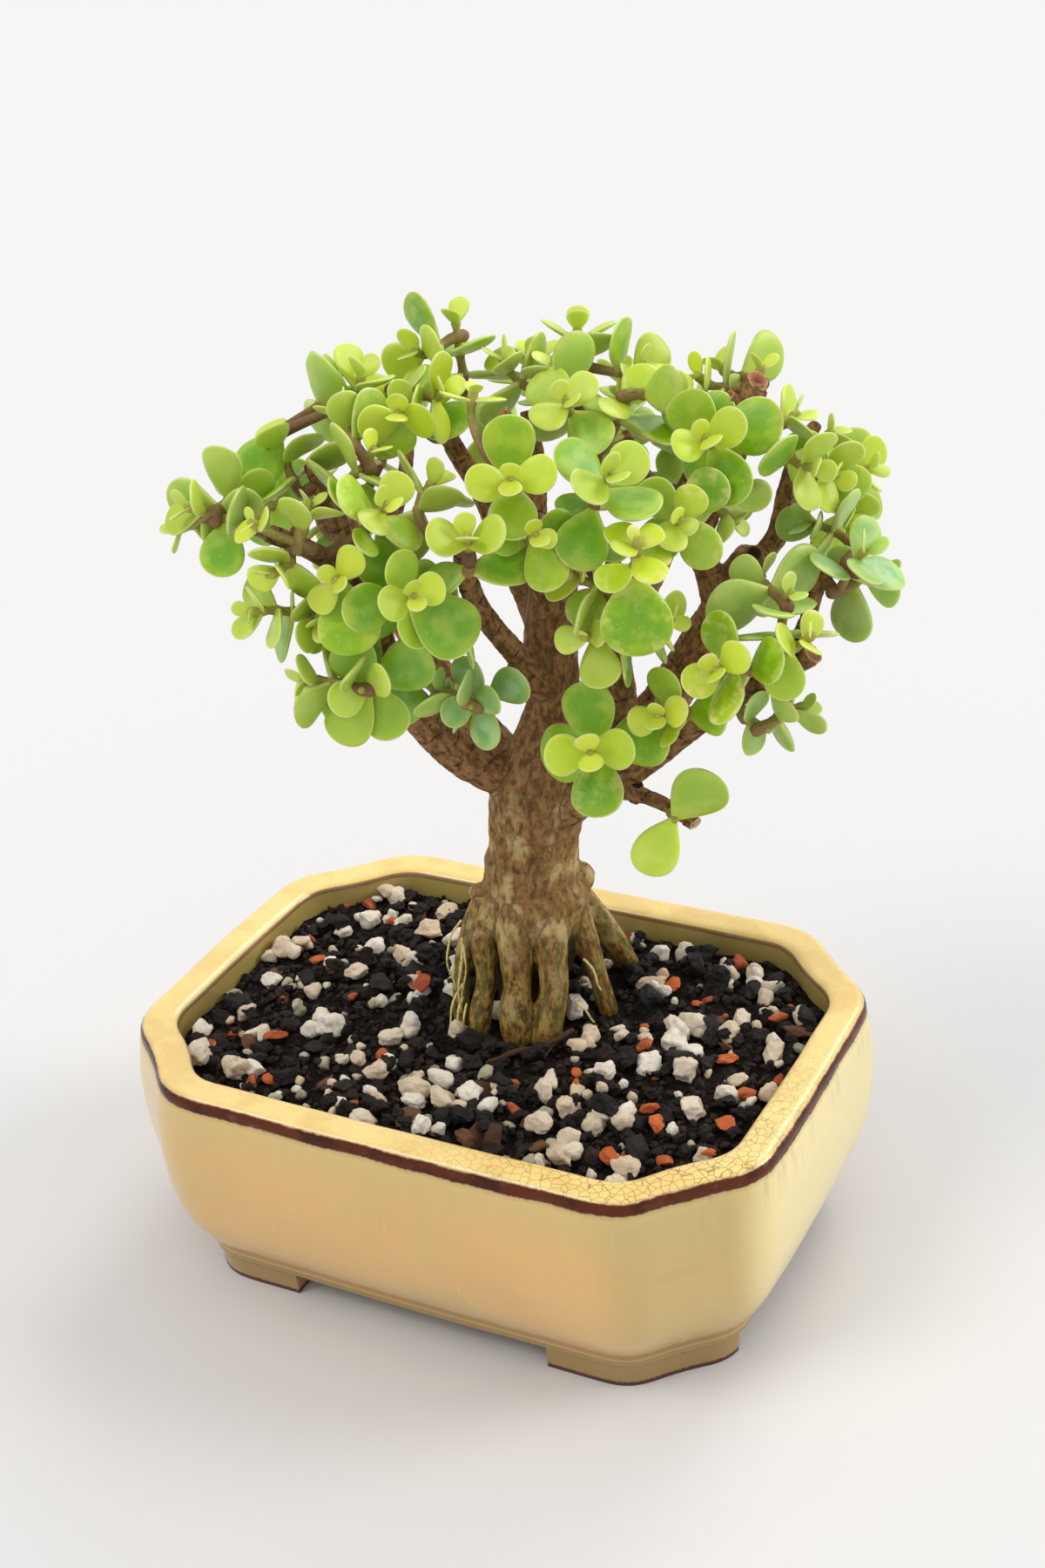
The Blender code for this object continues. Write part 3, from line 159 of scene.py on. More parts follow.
def setCamera():
    azimuth, elevation, roll = (math.radians(view[key]) for key in ("azimuth", "elevation", "roll"))
    back = Vector((math.sin(azimuth) * math.cos(elevation), -math.cos(azimuth) * math.cos(elevation),
                   math.sin(elevation)))
    right = Vector((math.cos(azimuth), math.sin(azimuth), 0))
    up = back.cross(right)
    rolledRight = right * math.cos(roll) + up * math.sin(roll)
    rolledUp = up * math.cos(roll) - right * math.sin(roll)
    data = bpy.data.cameras.new("camera")
    data.sensor_width, data.lens = view["sensor"], view["lens"]
    data.clip_start, data.clip_end = view["clip"]
    camera = sceneObject("camera", data)
    place = Matrix((rolledRight, rolledUp, back)).transposed().to_4x4()
    place.translation = potPlace + Vector(view["aim"]) * mm + back * view["distance"] * mm
    camera.matrix_world = place
    bpy.context.scene.camera = camera


def setStudio():
    size = studio["floorSize"] / 2
    mesh = bpy.data.meshes.new("floor")
    corners = [(-size, -size, 0), (size, -size, 0), (size, size, 0), (-size, size, 0)]
    mesh.from_pydata(corners, [], [(0, 1, 2, 3)])
    floor = sceneObject("floor", mesh)
    floor.location.z = potLow.z
    # matt white paper: no shine, so that only soft shadows show on it
    material, _, shader, _ = startMaterial("mattPaper", {"Roughness": 0.9, "Specular IOR Level": 0.1})
    shader.inputs["Base Color"].default_value = hexColour(studio["floorColour"])
    mesh.materials.append(material)
    world = bpy.data.worlds.new("studio")
    world.use_nodes = True
    sky = world.node_tree.nodes["Background"].inputs
    sky["Color"].default_value = hexColour(studio["sky"])
    sky["Strength"].default_value = studio["skyStrength"]
    bpy.context.scene.world = world
    for name, (place, strength, colour) in studio["lamps"].items():
        lamp = bpy.data.lights.new(name, "SUN")
        lamp.angle, lamp.energy, lamp.color = math.radians(studio["spread"]), strength, hexColour(colour)[:3]
        holder = sceneObject(name, lamp)
        holder.location = potPlace + Vector(place)
        shining = Vector(studio["lampAim"]) - Vector(place)
        holder.rotation_euler = shining.to_track_quat("-Z", "Y").to_euler()
    bpy.context.scene.view_settings.view_transform = "Standard"


setCamera()
setStudio()
print("camera and studio set")


def addPiece(name, mesh, slot, *nodes):
    piece = sceneObject(name, mesh)
    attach(piece, "root")
    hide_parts(*nodes)


def meshOf(name, points, faces, material, smooth=True):
    mesh = bpy.data.meshes.new(name)
    mesh.from_pydata([tuple(p) for p in points], [], [tuple(f) for f in faces])
    mesh.materials.append(material)
    if smooth:
        mesh.shade_smooth()
    mesh.update()
    return mesh


# Keeps a number for each point of a mesh, which the materials read by its name
def keepNumbers(mesh, name, values, kind="FLOAT", field="value"):
    kept = np.ascontiguousarray(values, dtype=np.float32)
    mesh.attributes.new(name, kind, "POINT").data.foreach_set(field, kept)


# shoots: how they grow, pair by pair from the tip down
growth = {
    # of each pair of leaves, for tips of 1 to 5 pairs: size as a share of the largest, and angle to the stem
    "pairSizes": {
        1: (1.0,), 2: (0.6, 1.0), 3: (0.45, 0.76, 1.0), 4: (0.42, 0.72, 0.95, 1.0),
        5: (0.42, 0.7, 0.92, 1.05, 0.95),
    },
    "pairSpreads": {1: (75,), 2: (45, 78), 3: (34, 62, 84), 4: (32, 56, 78, 94), 5: (32, 54, 72, 86, 98)},
    "pairDepths": (0.9, 3.2, 6.4, 10.2, 14.4),  # mm below the tip, where the largest leaf is a usual one
    "usualLeaf": 12.0,
    "stemRadius": 1.3,
    "stemTipRadius": 0.75,
    "leafSink": 0.4,  # into the stem
    "seatGap": 0.6,  # between the bark and the middle of a stem's foot, whose corners lie nearer
    "leafBelly": (0.62, 1.0),  # share of the length, and of the half width
    "leafEnd": (0.97, 0.52),
    "leafHalfWidth": 0.41,
    "leafThickness": 0.17,
    "leafClearance": 0.5,
    "leafReach": 0.66,  # leaves can touch where their middles are nearer than this share of both lengths
    "leafFoot": (0.0, 0.3),
    "footHalves": (1.3, 0.9),  # half the width and half the height of a blade where it leaves its stem
    "slimFootHalves": (0.5, 0.3),  # the same as neighbours on the same stem see it, since feet there may meet
    # the room that a blade needs round it, beside leaves of its own shoot and of others
    "guardOutline": ((0.2, 0.42), (0.62, 1.06), (0.99, 0.6)),
    "fullGuardOutline": ((-0.05, 0.45), (0.3, 0.75), (0.62, 1.1), (1.03, 0.66)),
    "probeShares": (0.08, 0.16, 0.25, 0.4, 0.55, 0.7, 0.85, 1.02),  # where its room from the wood is measured
    "stemStart": 1.8,  # the first run of a stem, straight out of the bark that carries it
    "seatRoom": 2.2,  # distance that a stem's seat keeps from other wood
    "jointSpacing": 1.4,
    "cutEndClear": 4.0,  # kept free at the end of a limb
    "nodeHalf": 0.6,  # half the height of the stem joint that a pair of leaves springs from
    # ways to move a leaf aside when its place is taken: share of its size, more spread, turn about the stem
    "leafTries": (
        (1.0, 0, 0), (1.0, 12, 0), (1.0, -12, 0), (1.0, 0, 16), (1.0, 0, -16), (0.88, 0, 0), (0.88, 16, 16),
        (0.88, -16, -16), (0.88, 16, -16), (0.88, -16, 16), (0.88, 26, 0), (0.75, 0, 0), (0.75, 18, 22),
        (0.75, -18, -22), (0.75, 18, -22), (0.75, -18, 22), (0.75, 30, 0), (0.62, 0, 0), (0.62, 24, 30),
        (0.62, -24, -30), (0.62, 24, -30), (0.62, -24, 30), (0.5, 0, 0), (0.5, 30, 0), (0.5, -20, 0),
    ),
    # ways to bend a stem aside: sideways and upwards in mm
    "stemTries": (
        (0, 0), (4, 0), (-4, 0), (0, 4), (0, -4), (8, 0), (-8, 0), (0, 8), (6, 6), (-6, 6), (12, 0), (-12, 0),
    ),
    "seatRise": 5,  # a seat this far below its tip needs no stem that bends back down
    "steepCost": 0.6,
    "crowdingCost": 10,
    "stemThickening": 0.012,  # radius gained per millimetre that a stem's seat and tip lie apart
    "wantedRoom": 0.5,  # a stem this clear of other wood is looked at no further
    "seed": 7,
    "gap": 0.3,
}

# Trunk and roots in the tree's own frame: x to the right, y to the back, z up from under the pot. The last
# number in each point is the radius there.
trunkRoute = (
    (-1, 1, 44, 7.0), (-1, 1, 56, 8.0), (0, 0, 66, 10.5), (1, 0, 76, 12.2), (1, 0, 84, 11.0),
    (2, 0, 93, 10.2), (3, 0, 101, 10.6), (4, 0, 108, 10.2), (6, 0, 116, 7.6), (8, 0, 125, 6.0),
    (8, 0, 137, 5.9), (9, 0, 149, 5.2), (10, 0, 157, 5.6), (11, 0, 161, 4.8),
)
rootRoutes = (
    ((-3, -7, 80, 4.6), (-4, -10, 72, 4.5), (-4, -12, 63, 3.6), (-5, -14, 55, 4.2), (-4, -15, 43, 3.0)),
    ((5, -7, 80, 4.5), (4, -11, 71, 4.2), (4, -13, 62, 3.7), (2, -15, 53, 4.0), (1, -17, 43, 2.8)),
    ((-7, -5, 80, 3.6), (-11, -6, 72, 3.2), (-11, -8, 62, 2.6), (-13, -10, 53, 3.0), (-14, -12, 43, 2.0)),
    ((-9, 0, 80, 3.2), (-13, -1, 73, 2.6), (-16, -3, 64, 2.2), (-17, -5, 54, 2.2), (-18, -6, 43, 1.6)),
    ((9, 1, 78, 4.6), (14, 5, 69, 4.0), (18, 9, 60, 3.6), (21, 13, 52, 3.3), (24, 17, 43, 2.4)),
    ((10, -3, 76, 3.6), (12, -5, 68, 3.2), (14, -4, 59, 2.6), (16, -5, 50, 2.6), (18, -6, 43, 1.8)),
    ((-6, 7, 78, 3.9), (-10, 11, 68, 3.4), (-13, 14, 58, 3.0), (-16, 18, 43, 2.2)),
    ((4, 8, 78, 4.2), (6, 13, 68, 3.6), (7, 17, 58, 3.2), (9, 22, 43, 2.4)),
)
rootKnobs = ((12, 1, 82, 3.4), (-11, -2, 81, 2.6), (9, -6, 79, 2.8))

# Limbs in the same frame. Each is a list of routes: the first is the limb itself, the rest are its forks.
limbRoutes = {
    "limb_low_left": (
        ((-2, 0, 108, 5.6), (-8, -2, 112, 4.8), (-14, -6, 119, 4.3), (-19, -9, 127, 4.1),
         (-24, -10, 136, 4.0), (-28, -9, 147, 3.6), (-30, -7, 155, 2.8), (-32, -3, 164, 2.4),
         (-35, 0, 173, 2.1), (-38, 3, 181, 1.9)),
        ((-26, -10, 143, 2.8), (-27, -13, 154, 2.3), (-32, -17, 165, 2.2), (-39, -20, 172, 2.0),
         (-45, -22, 176, 1.8)),
    ),
    "limb_upper_left": (
        ((8, 1, 138, 3.6), (4, 5, 148, 3.0), (0, 8, 159, 2.7), (-4, 12, 169, 2.4), (-9, 15, 178, 2.1),
         (-12, 15, 187, 1.8)),
    ),
    "limb_front_left": (
        ((7, -2, 128, 3.0), (3, -7, 137, 2.6), (-2, -13, 147, 2.4), (-6, -18, 156, 2.3), (-8, -22, 165, 2.2),
         (-8, -25, 173, 2.0)),
    ),
    "limb_middle_right": (
        ((9, -2, 108, 4.4), (17, -8, 116, 3.6), (22, -12, 126, 3.0), (22, -14, 136, 2.8), (21, -16, 146, 2.5),
         (20, -20, 156, 2.2), (21, -24, 166, 1.8)),
    ),
    "limb_right": (
        ((8, 2, 100, 6.4), (18, 5, 106, 5.8), (28, 7, 115, 5.2), (36, 7, 126, 5.0), (42, 5, 137, 4.8),
         (47, 3, 147, 4.6), (51, 1, 155, 3.8)),
        ((44, 4, 142, 3.4), (42, 1, 152, 3.0), (40, -2, 161, 2.9), (43, -4, 171, 2.8), (48, -3, 181, 2.7),
         (52, 0, 192, 2.6)),
        ((48, 3, 149, 2.6), (56, 5, 157, 2.1), (59, 8, 166, 1.9), (62, 10, 174, 1.7), (66, 12, 179, 1.5)),
    ),
    "limb_right_back": (
        ((45, 7, 140, 3.0), (54, 14, 149, 2.5), (63, 19, 157, 2.2), (67, 21, 161, 2.0), (71, 22, 168, 1.9)),
    ),
    "limb_lower_right": (
        ((7, -4, 101, 4.8), (15, -9, 108, 4.2), (24, -14, 116, 3.7), (34, -19, 126, 3.3), (43, -24, 135, 3.0),
         (51, -29, 142, 2.7), (58, -34, 148, 2.5)),
        ((44, -24, 136, 2.3), (54, -18, 139, 2.0), (60, -12, 144, 1.8), (63, -9, 151, 1.7),
         (66, -11, 157, 1.4)),
        ((13, -8, 105, 3.0), (18, -11, 108, 2.2), (22, -14, 110, 1.9), (27, -18, 110, 1.7),
         (31, -21, 109, 1.6), (35, -24, 107, 1.5)),
    ),
    "limb_top_front": (
        ((8, -2, 152, 3.4), (5, -7, 163, 2.6), (3, -11, 173, 2.4), (3, -14, 183, 2.6), (4, -16, 192, 2.9)),
    ),
    "limb_top_right": (
        ((11, 1, 150, 3.2), (15, 2, 160, 2.4), (17, 4, 170, 2.1), (20, 7, 179, 1.9), (23, 9, 187, 1.7)),
    ),
    "limb_back_left": (
        ((1, 3, 106, 5.0), (-7, 12, 113, 4.2), (-16, 21, 123, 3.7), (-24, 29, 134, 3.2), (-31, 34, 146, 2.7),
         (-36, 37, 158, 2.2)),
        ((-28, 32, 141, 2.4), (-26, 40, 150, 2.0), (-22, 45, 160, 1.8), (-20, 46, 169, 1.6)),
    ),
    "limb_back_right": (
        ((7, 4, 107, 4.8), (14, 13, 115, 4.0), (22, 23, 125, 3.5), (30, 31, 136, 3.1), (37, 36, 148, 2.7),
         (42, 38, 160, 2.2)),
    ),
    "limb_back": (
        ((8, 3, 122, 4.0), (7, 12, 131, 3.4), (6, 22, 141, 2.9), (7, 31, 153, 2.6), (8, 37, 165, 2.2),
         (7, 39, 176, 1.8)),
    ),
}

# Leafy shoots, grouped by the wood that carries them. Each row is one shoot: its name and its tips, of which
# the first grows from the wood and the rest fork off the first. A tip is (x, y, z, heading, lift, roll, pairs
# of leaves, length of the largest leaf). Heading is in degrees from straight front towards the right, and
# lift is above level.
shootRows = {
    "limb_low_left": (
        ("low_left", ((-30, -34, 147, -20, 20, 35, 5, 13), (-42, -28, 147, -45, 5, 60, 4, 12))),
        ("left_rosette", ((-18, -36, 167, 5, 30, 10, 5, 12),)),
        ("left_stub", ((-33, -30, 169, -15, 30, 50, 2, 8),)),
        ("left_level", ((-46, -28, 170, -65, 5, 25, 4, 11),)),
        ("left_drooping", ((-51, -24, 161, -60, 5, 70, 5, 11), (-38, -26, 158, -10, 10, 20, 4, 11))),
        ("limb_end", ((-48, -28, 181, -50, 50, 45, 2, 7), (-37, -22, 182, -10, 65, 10, 4, 11))),
        ("far_left", (
            (-62, -14, 180, -60, 25, 40, 4, 13), (-54, -2, 181, -90, 30, 0, 4, 12),
            (-65, -10, 174, -70, 10, 10, 3, 13),
        )),
        ("left_front_high", ((-22, -28, 183, 5, 45, 40, 4, 12),)),
        ("upper_left_front", ((-24, -16, 190, -5, 45, 5, 4, 13), (-31, -5, 194, -30, 65, 60, 3, 14))),
        ("upper_left_end", (
            (-46, 4, 188, -50, 40, 15, 4, 13), (-32, 14, 196, -30, 65, 30, 3, 14),
            (-26, 4, 199, -20, 75, 70, 3, 14),
        )),
    ),
    "limb_upper_left": (
        ("top_left", ((-7, 24, 203, 20, 75, 5, 4, 14), (-16, 17, 199, -20, 65, 30, 3, 14))),
        ("upper_left", (
            (-20, 5, 196, -20, 60, 30, 4, 13), (-10, -2, 196, -5, 70, 75, 3, 13),
            (-19, -10, 195, -10, 60, 0, 3, 13),
        )),
    ),
    "limb_front_left": (
        ("blue_cluster", ((-9, -26, 138, 5, 15, 20, 4, 11), (-17, -22, 141, -30, 20, 60, 5, 10))),
        ("front_left", ((-7, -35, 178, -5, 25, 5, 4, 14), (-13, -14, 182, -20, 60, 30, 3, 14))),
        ("left_inner", ((-14, -22, 158, -30, 20, 50, 4, 12),)),
    ),
    "limb_top_front": (
        ("top_front", ((2, -30, 187, 0, 30, 0, 4, 14), (-4, -10, 198, -20, 65, 45, 2, 7))),
        ("front_middle", ((6, -34, 177, 10, 40, 15, 4, 12),)),
    ),
    "limb_top_right": (
        ("top_middle", (
            (14, -9, 195, 10, 50, 45, 3, 12), (12, 8, 197, -10, 70, 10, 3, 14),
            (2, 12, 198, -20, 70, 30, 3, 13),
        )),
        ("top_high", ((18, 20, 201, 0, 80, 40, 3, 13), (31, 10, 195, 40, 60, 10, 3, 13))),
        ("top_right", ((27, -3, 194, 20, 55, 20, 3, 14), (36, 0, 193, 40, 60, 60, 3, 13))),
    ),
    "limb_middle_right": (
        ("front_rosette", ((21, -31, 187, 5, 30, 20, 5, 15),)),
        ("middle_sprig", ((25, -38, 176, 5, 60, 20, 4, 9), (12, -26, 165, -30, 30, 50, 3, 12))),
        ("middle_inner", ((14, -31, 154, -40, 15, 20, 3, 10), (32, -24, 153, 50, 15, 30, 4, 12))),
        ("low_rosette", ((14, -36, 131, 0, 25, 10, 4, 16),)),
    ),
    "limb_right": (
        ("right_front", ((34, -29, 176, 25, 30, 50, 4, 12), (47, -9, 167, 20, 45, 25, 4, 12))),
        ("right_rosette", ((40, -20, 189, 10, 40, 30, 5, 14),)),
        ("right_top", (
            (54, 6, 194, 20, 80, 10, 3, 11), (41, 7, 193, -10, 65, 40, 3, 13),
            (47, 15, 192, 30, 60, 80, 3, 13),
        )),
        ("right_upper", ((60, -4, 187, 45, 30, 10, 4, 13), (62, -14, 179, 35, 30, 60, 3, 13))),
        ("far_right_high", ((69, 10, 178, 60, 30, 15, 4, 12), (68, -3, 173, 45, 25, 50, 3, 13))),
    ),
    "limb_right_back": (
        ("far_right", (
            (78, 14, 168, 60, 25, 30, 4, 13), (75, 31, 163, 120, 0, 10, 5, 12),
            (72, 6, 160, 40, 30, 50, 3, 14),
        )),
    ),
    "limb_lower_right": (
        ("right_cluster", (
            (72, -16, 162, 50, 25, 40, 4, 14), (77, -6, 152, 60, 10, 10, 3, 14),
            (62, -2, 163, 20, 55, 20, 3, 13),
        )),
        ("right_level", ((55, -30, 160, 10, 20, 20, 4, 12), (51, -14, 158, 20, 50, 70, 3, 14))),
        ("lower_rosette", ((39, -40, 149, 5, 15, 35, 5, 13),)),
        ("lower_front", ((28, -32, 136, 10, 30, 15, 5, 12),)),
        ("right_hanging", ((50, -32, 131, 55, -35, 10, 3, 9), (58, -28, 134, 45, 10, 30, 4, 12))),
        ("cut_end", ((58, -38, 154, 0, 60, 40, 4, 10),)),
        ("twig_end", ((31, -28, 110, 5, 10, -45, 1, 14),)),
    ),
    "limb_back_left": (
        ("back_left", ((-46, 42, 167, -130, 25, 20, 5, 12), (-54, 22, 166, -100, 20, 50, 5, 12))),
        ("back_left_low", ((-37, 46, 149, -150, -5, 30, 5, 12), (-22, 55, 176, 180, 40, 10, 5, 12))),
    ),
    "limb_back_right": (
        ("back_right", ((50, 48, 168, 140, 30, 40, 5, 12), (38, 54, 152, 165, 0, 10, 5, 12))),
        ("back_right_high", ((28, 40, 185, 160, 60, 20, 5, 12), (22, 53, 168, 175, 20, 60, 5, 12))),
    ),
    "limb_back": (
        ("back", ((8, 44, 189, 180, 65, 0, 5, 12), (-2, 57, 169, 190, 15, 40, 5, 12))),
    ),
}

# Single old leaves that hang below the young pairs: shoot, foot of the leaf, heading, lift and length
loneLeaves = (
    ("middle_sprig", (24, -39, 171), 5, -75, 17),
    ("left_rosette", (-14, -35, 165), 70, -35, 16),
    ("left_stub", (-32, -29, 167), 15, -70, 15),
    ("cut_end", (57, -37, 147), 0, -80, 14),
    ("upper_left_end", (-44, 5, 188), -50, -40, 13),
    ("far_left", (-57, -16, 176), -20, -60, 12),
    ("low_left", (-30, -30, 144), -60, -50, 13),
)


# Unit vector at a heading in degrees from straight front towards the right, lifted above level.
def direction(heading, lift):
    h, up = math.radians(heading), math.radians(lift)
    return Vector((math.sin(h) * math.cos(up), -math.cos(h) * math.cos(up), math.sin(up)))


# The part of a vector square to an axis, as a unit vector.
def across(vector, axis):
    flat = vector - axis * vector.dot(axis)
    if flat.length < 1e-4:
        flat = axis.orthogonal()
    return flat.normalized()


# Points along a route of (point, radius) pairs, each as (point, radius, heading of the route).
def walk(route, spacing=1.5):
    for (start, firstRadius), (end, lastRadius) in zip(route, route[1:]):
        steps = max(1, round((end - start).length / spacing))
        for step in range(steps):
            share = step / steps
            radius = firstRadius + (lastRadius - firstRadius) * share
            yield start.lerp(end, share), radius, (end - start).normalized()


def routeOf(points):
    return [(Vector(point[:3]), point[3]) for point in points]


# Every trunk, root, limb and stem laid so far, as straight runs with a radius at each end.
class Wood:

    def __init__(self):
        self.runs = []

    def add(self, owner, route):
        for (start, firstRadius), (end, lastRadius) in zip(route, route[1:]):
            self.runs.append((owner, start, end, firstRadius, lastRadius))

    # Smallest distance from the points to the bark of any wood whose owner isn't skipped.
    def clearance(self, points, skip=()):
        kept = [run for run in self.runs if run[0] not in skip]
        start = np.array([run[1] for run in kept])
        along = np.array([run[2] for run in kept]) - start
        radii = np.array([run[3:5] for run in kept])
        places = np.array([tuple(point) for point in points])[:, None, :]
        share = ((places - start) * along).sum(2) / (along ** 2).sum(1)
        share = np.clip(share, 0, 1)
        gap = np.linalg.norm(places - start - share[..., None] * along, axis=2)
        return (gap - radii[:, 0] - share * (radii[:, 1] - radii[:, 0])).min()


# A curved stem from its seat to its tip, bent aside by (sideways, upwards).
def stemRoute(start, leave, tip, arrive, bend):
    reach = (tip - start).length / 3
    side = across(Vector((0, 0, 1)).cross(tip - start), (tip - start).normalized())
    push = side * bend[0] + Vector((0, 0, 1)) * bend[1]
    first, last = start + leave * reach + push, tip - arrive * reach + push
    steps = 3 if reach < 5 else 4
    points = [start]
    for step in range(1, steps + 1):
        t = step / steps
        held = first * 3 * t * (1 - t) ** 2 + last * 3 * t * t * (1 - t)
        points.append(start * (1 - t) ** 3 + held + tip * t ** 3)
    points.insert(1, start + leave * min(growth["stemStart"], reach))
    thick = growth["stemRadius"] + growth["stemThickening"] * (tip - start).length
    slimmer, count = growth["stemTipRadius"] - thick, len(points) - 1
    return [(point, thick + slimmer * index / count) for index, point in enumerate(points)]


# The best place on the carrying wood for a stem: (seat on the bark, leaving direction).
def seatOn(wood, carrier, routes, tip):
    best = None
    for route in routes:
        end = route[-1][0]
        for point, radius, heading in walk(route):
            if (point - end).length < growth["cutEndClear"]:
                continue
            leave = across(tip - point, heading)
            seat = point + leave * (radius + growth["seatGap"])
            crowding = max(0.0, growth["seatRoom"] - wood.clearance([seat], skip=(carrier,)))
            steepness = max(0.0, point.z + growth["seatRise"] - tip.z)
            score = (tip - point).length - radius + growth["steepCost"] * steepness
            score += growth["crowdingCost"] * crowding
            if best is None or score < best[0]:
                best = (score, seat, leave)
    return best[1:]


def lengthOf(route):
    return sum((end - start).length for (start, _), (end, _) in zip(route, route[1:]))


# The point and the stem's heading at a distance below the tip, or None where the stem is too short.
def pointBelow(route, depth):
    left = depth
    for (end, _), (start, _) in zip(reversed(route), reversed(route[:-1])):
        length = (end - start).length
        if left <= length:
            return end.lerp(start, left / length), (end - start).normalized()
        left -= length
    return None


# How far below its tip each pair of a shoot springs.
def pairDepths(tipRow):
    return [depth * tipRow[7] / growth["usualLeaf"] for depth in growth["pairDepths"][:tipRow[6]]]


# Depths at which another leaf or fork can leave a stem, clear of the joints already taken.
def freeDepths(route, taken):
    steps = [0.5 * step for step in range(2, round(2 * lengthOf(route)) - 3)]
    return [step for step in steps if all(abs(step - joint) > growth["jointSpacing"] for joint in taken)]


# Where a fork leaves the first stem: its depth below that stem's tip, the point and the direction.
def forkSeat(route, tipRow):
    tip = Vector(tipRow[:3])

    def cost(depth):
        point, _ = pointBelow(route, depth)
        return (point - tip).length + max(0.0, point.z - tip.z)

    depth = min(freeDepths(route, [0.0]), key=cost)
    point, _ = pointBelow(route, depth)
    return depth, point, (tip - point).normalized()


# The route of one stem, by the first of the bends tried that clears all other wood.
def layStem(wood, name, carrier, start, leave, tipRow):
    tip, arrive = Vector(tipRow[:3]), direction(tipRow[3], tipRow[4])
    choices = []
    for bend in growth["stemTries"]:
        route = stemRoute(start, leave, tip, arrive, bend)
        room = 1.0
        for point, radius, _ in walk(route):
            beside = (point - start).length < growth["stemStart"] - 0.1
            room = min(room, wood.clearance([point], skip=(name, carrier) if beside else (name,)) - radius)
        choices.append((min(room, growth["wantedRoom"]), -abs(bend[0]) - abs(bend[1]), route))
        if room > growth["wantedRoom"]:
            break
    room, _, route = max(choices, key=lambda choice: choice[:2])
    if room < growth["gap"]:
        print(f"{name}: a stem clears the wood by only {room:.2f} mm")
    return route


# The frame of a leaf: x along the blade, z out of its upper face.
def leafPlace(foot, pointing, facing):
    z = across(facing, pointing)
    place = Matrix((pointing, z.cross(pointing), z)).transposed().to_4x4()
    place.translation = foot
    return place


# A blade from its foot over its belly to its end, which is an edge.
def blade(place, length, foot):
    half, thick = length * growth["leafHalfWidth"], length * growth["leafThickness"] / 2
    belly, end = growth["leafBelly"][0] * length, growth["leafEnd"][0] * length
    rings = ((0.0, *foot), (belly, half, thick), (end, growth["leafEnd"][1] * half, 0.0))
    points = []
    for x, wide, high in rings:
        spots = ((x, wide, 0), (x, 0, high), (x, -wide, 0), (x, 0, -high))
        points += [place @ Vector(spot) for spot in spots]
    faces = []
    for first in range(0, 8, 4):
        for side in range(4):
            following = (side + 1) % 4
            faces.append((first + side, first + following, first + 4 + following, first + 4 + side))
    return points, faces


# Points spread over both faces of a blade.
def leafProbes(place, length):
    half, thick = length * growth["leafHalfWidth"], length * growth["leafThickness"] / 2
    spots = []
    for share in growth["probeShares"]:
        wide = half * np.interp(share, *zip(growth["leafFoot"], growth["leafBelly"], growth["leafEnd"]))
        spots += [(share * length, y * wide, 0) for y in (-1, -0.5, 0.5, 1)]
        spots += [(share * length, 0, thick), (share * length, 0, -thick)]
    return [place @ Vector(spot) for spot in spots]


# The room that a blade needs round it: its edge with some height, and a crown on either side.
def leafGuard(place, length, outline):
    half, clear = length * growth["leafHalfWidth"], growth["leafClearance"]
    right = [(share * length, wide * half) for share, wide in outline]
    rim = right + [(x, -y) for x, y in reversed(right)]
    middle, thick = growth["leafBelly"][0] * length, length * growth["leafThickness"] / 2 + clear
    spots = [(x, y, lift) for lift in (clear, -clear) for x, y in rim]
    spots += [(middle, 0, thick), (middle, 0, -thick)]
    points, count = [place @ Vector(spot) for spot in spots], len(rim)
    faces = []
    for index in range(count):
        following = (index + 1) % count
        faces.append((index, following, 2 * count))
        faces.append((count + following, count + index, 2 * count + 1))
        faces.append((index, count + index, count + following))
        faces.append((index, count + following, following))
    return points, faces


# The leaves laid so far, each kept with a search tree so that the next ones can stay clear of it.
class Foliage:

    def __init__(self, wood):
        self.wood, self.leaves = wood, []

    # Whether a leaf of a shoot has room. Beside leaves of the same shoot its foot needs none.
    def fits(self, place, length, name):
        if self.wood.clearance(leafProbes(place, length), skip=(name,)) < growth["gap"]:
            return False
        middle = place @ Vector((length * growth["leafBelly"][0], 0, 0))
        own = BVHTree.FromPolygons(*leafGuard(place, length, growth["guardOutline"]))
        full = BVHTree.FromPolygons(*leafGuard(place, length, growth["fullGuardOutline"]))
        for leaf in self.leaves:
            room, tree = (own, "slimTree") if leaf["name"] == name else (full, "tree")
            near = (leaf["middle"] - middle).length < (leaf["length"] + length) * growth["leafReach"]
            if near and room.overlap(leaf[tree]):
                return False
        return True

    # Keeps a leaf of one tip of a shoot, which springs from the stem at a depth below that tip.
    def add(self, name, tip, depth, place, length):
        self.leaves.append({
            "name": name, "tip": tip, "depth": depth, "place": place, "length": length,
            "middle": place @ Vector((length * growth["leafBelly"][0], 0, 0)),
            "tree": BVHTree.FromPolygons(*blade(place, length, growth["footHalves"])),
            "slimTree": BVHTree.FromPolygons(*blade(place, length, growth["slimFootHalves"])),
        })


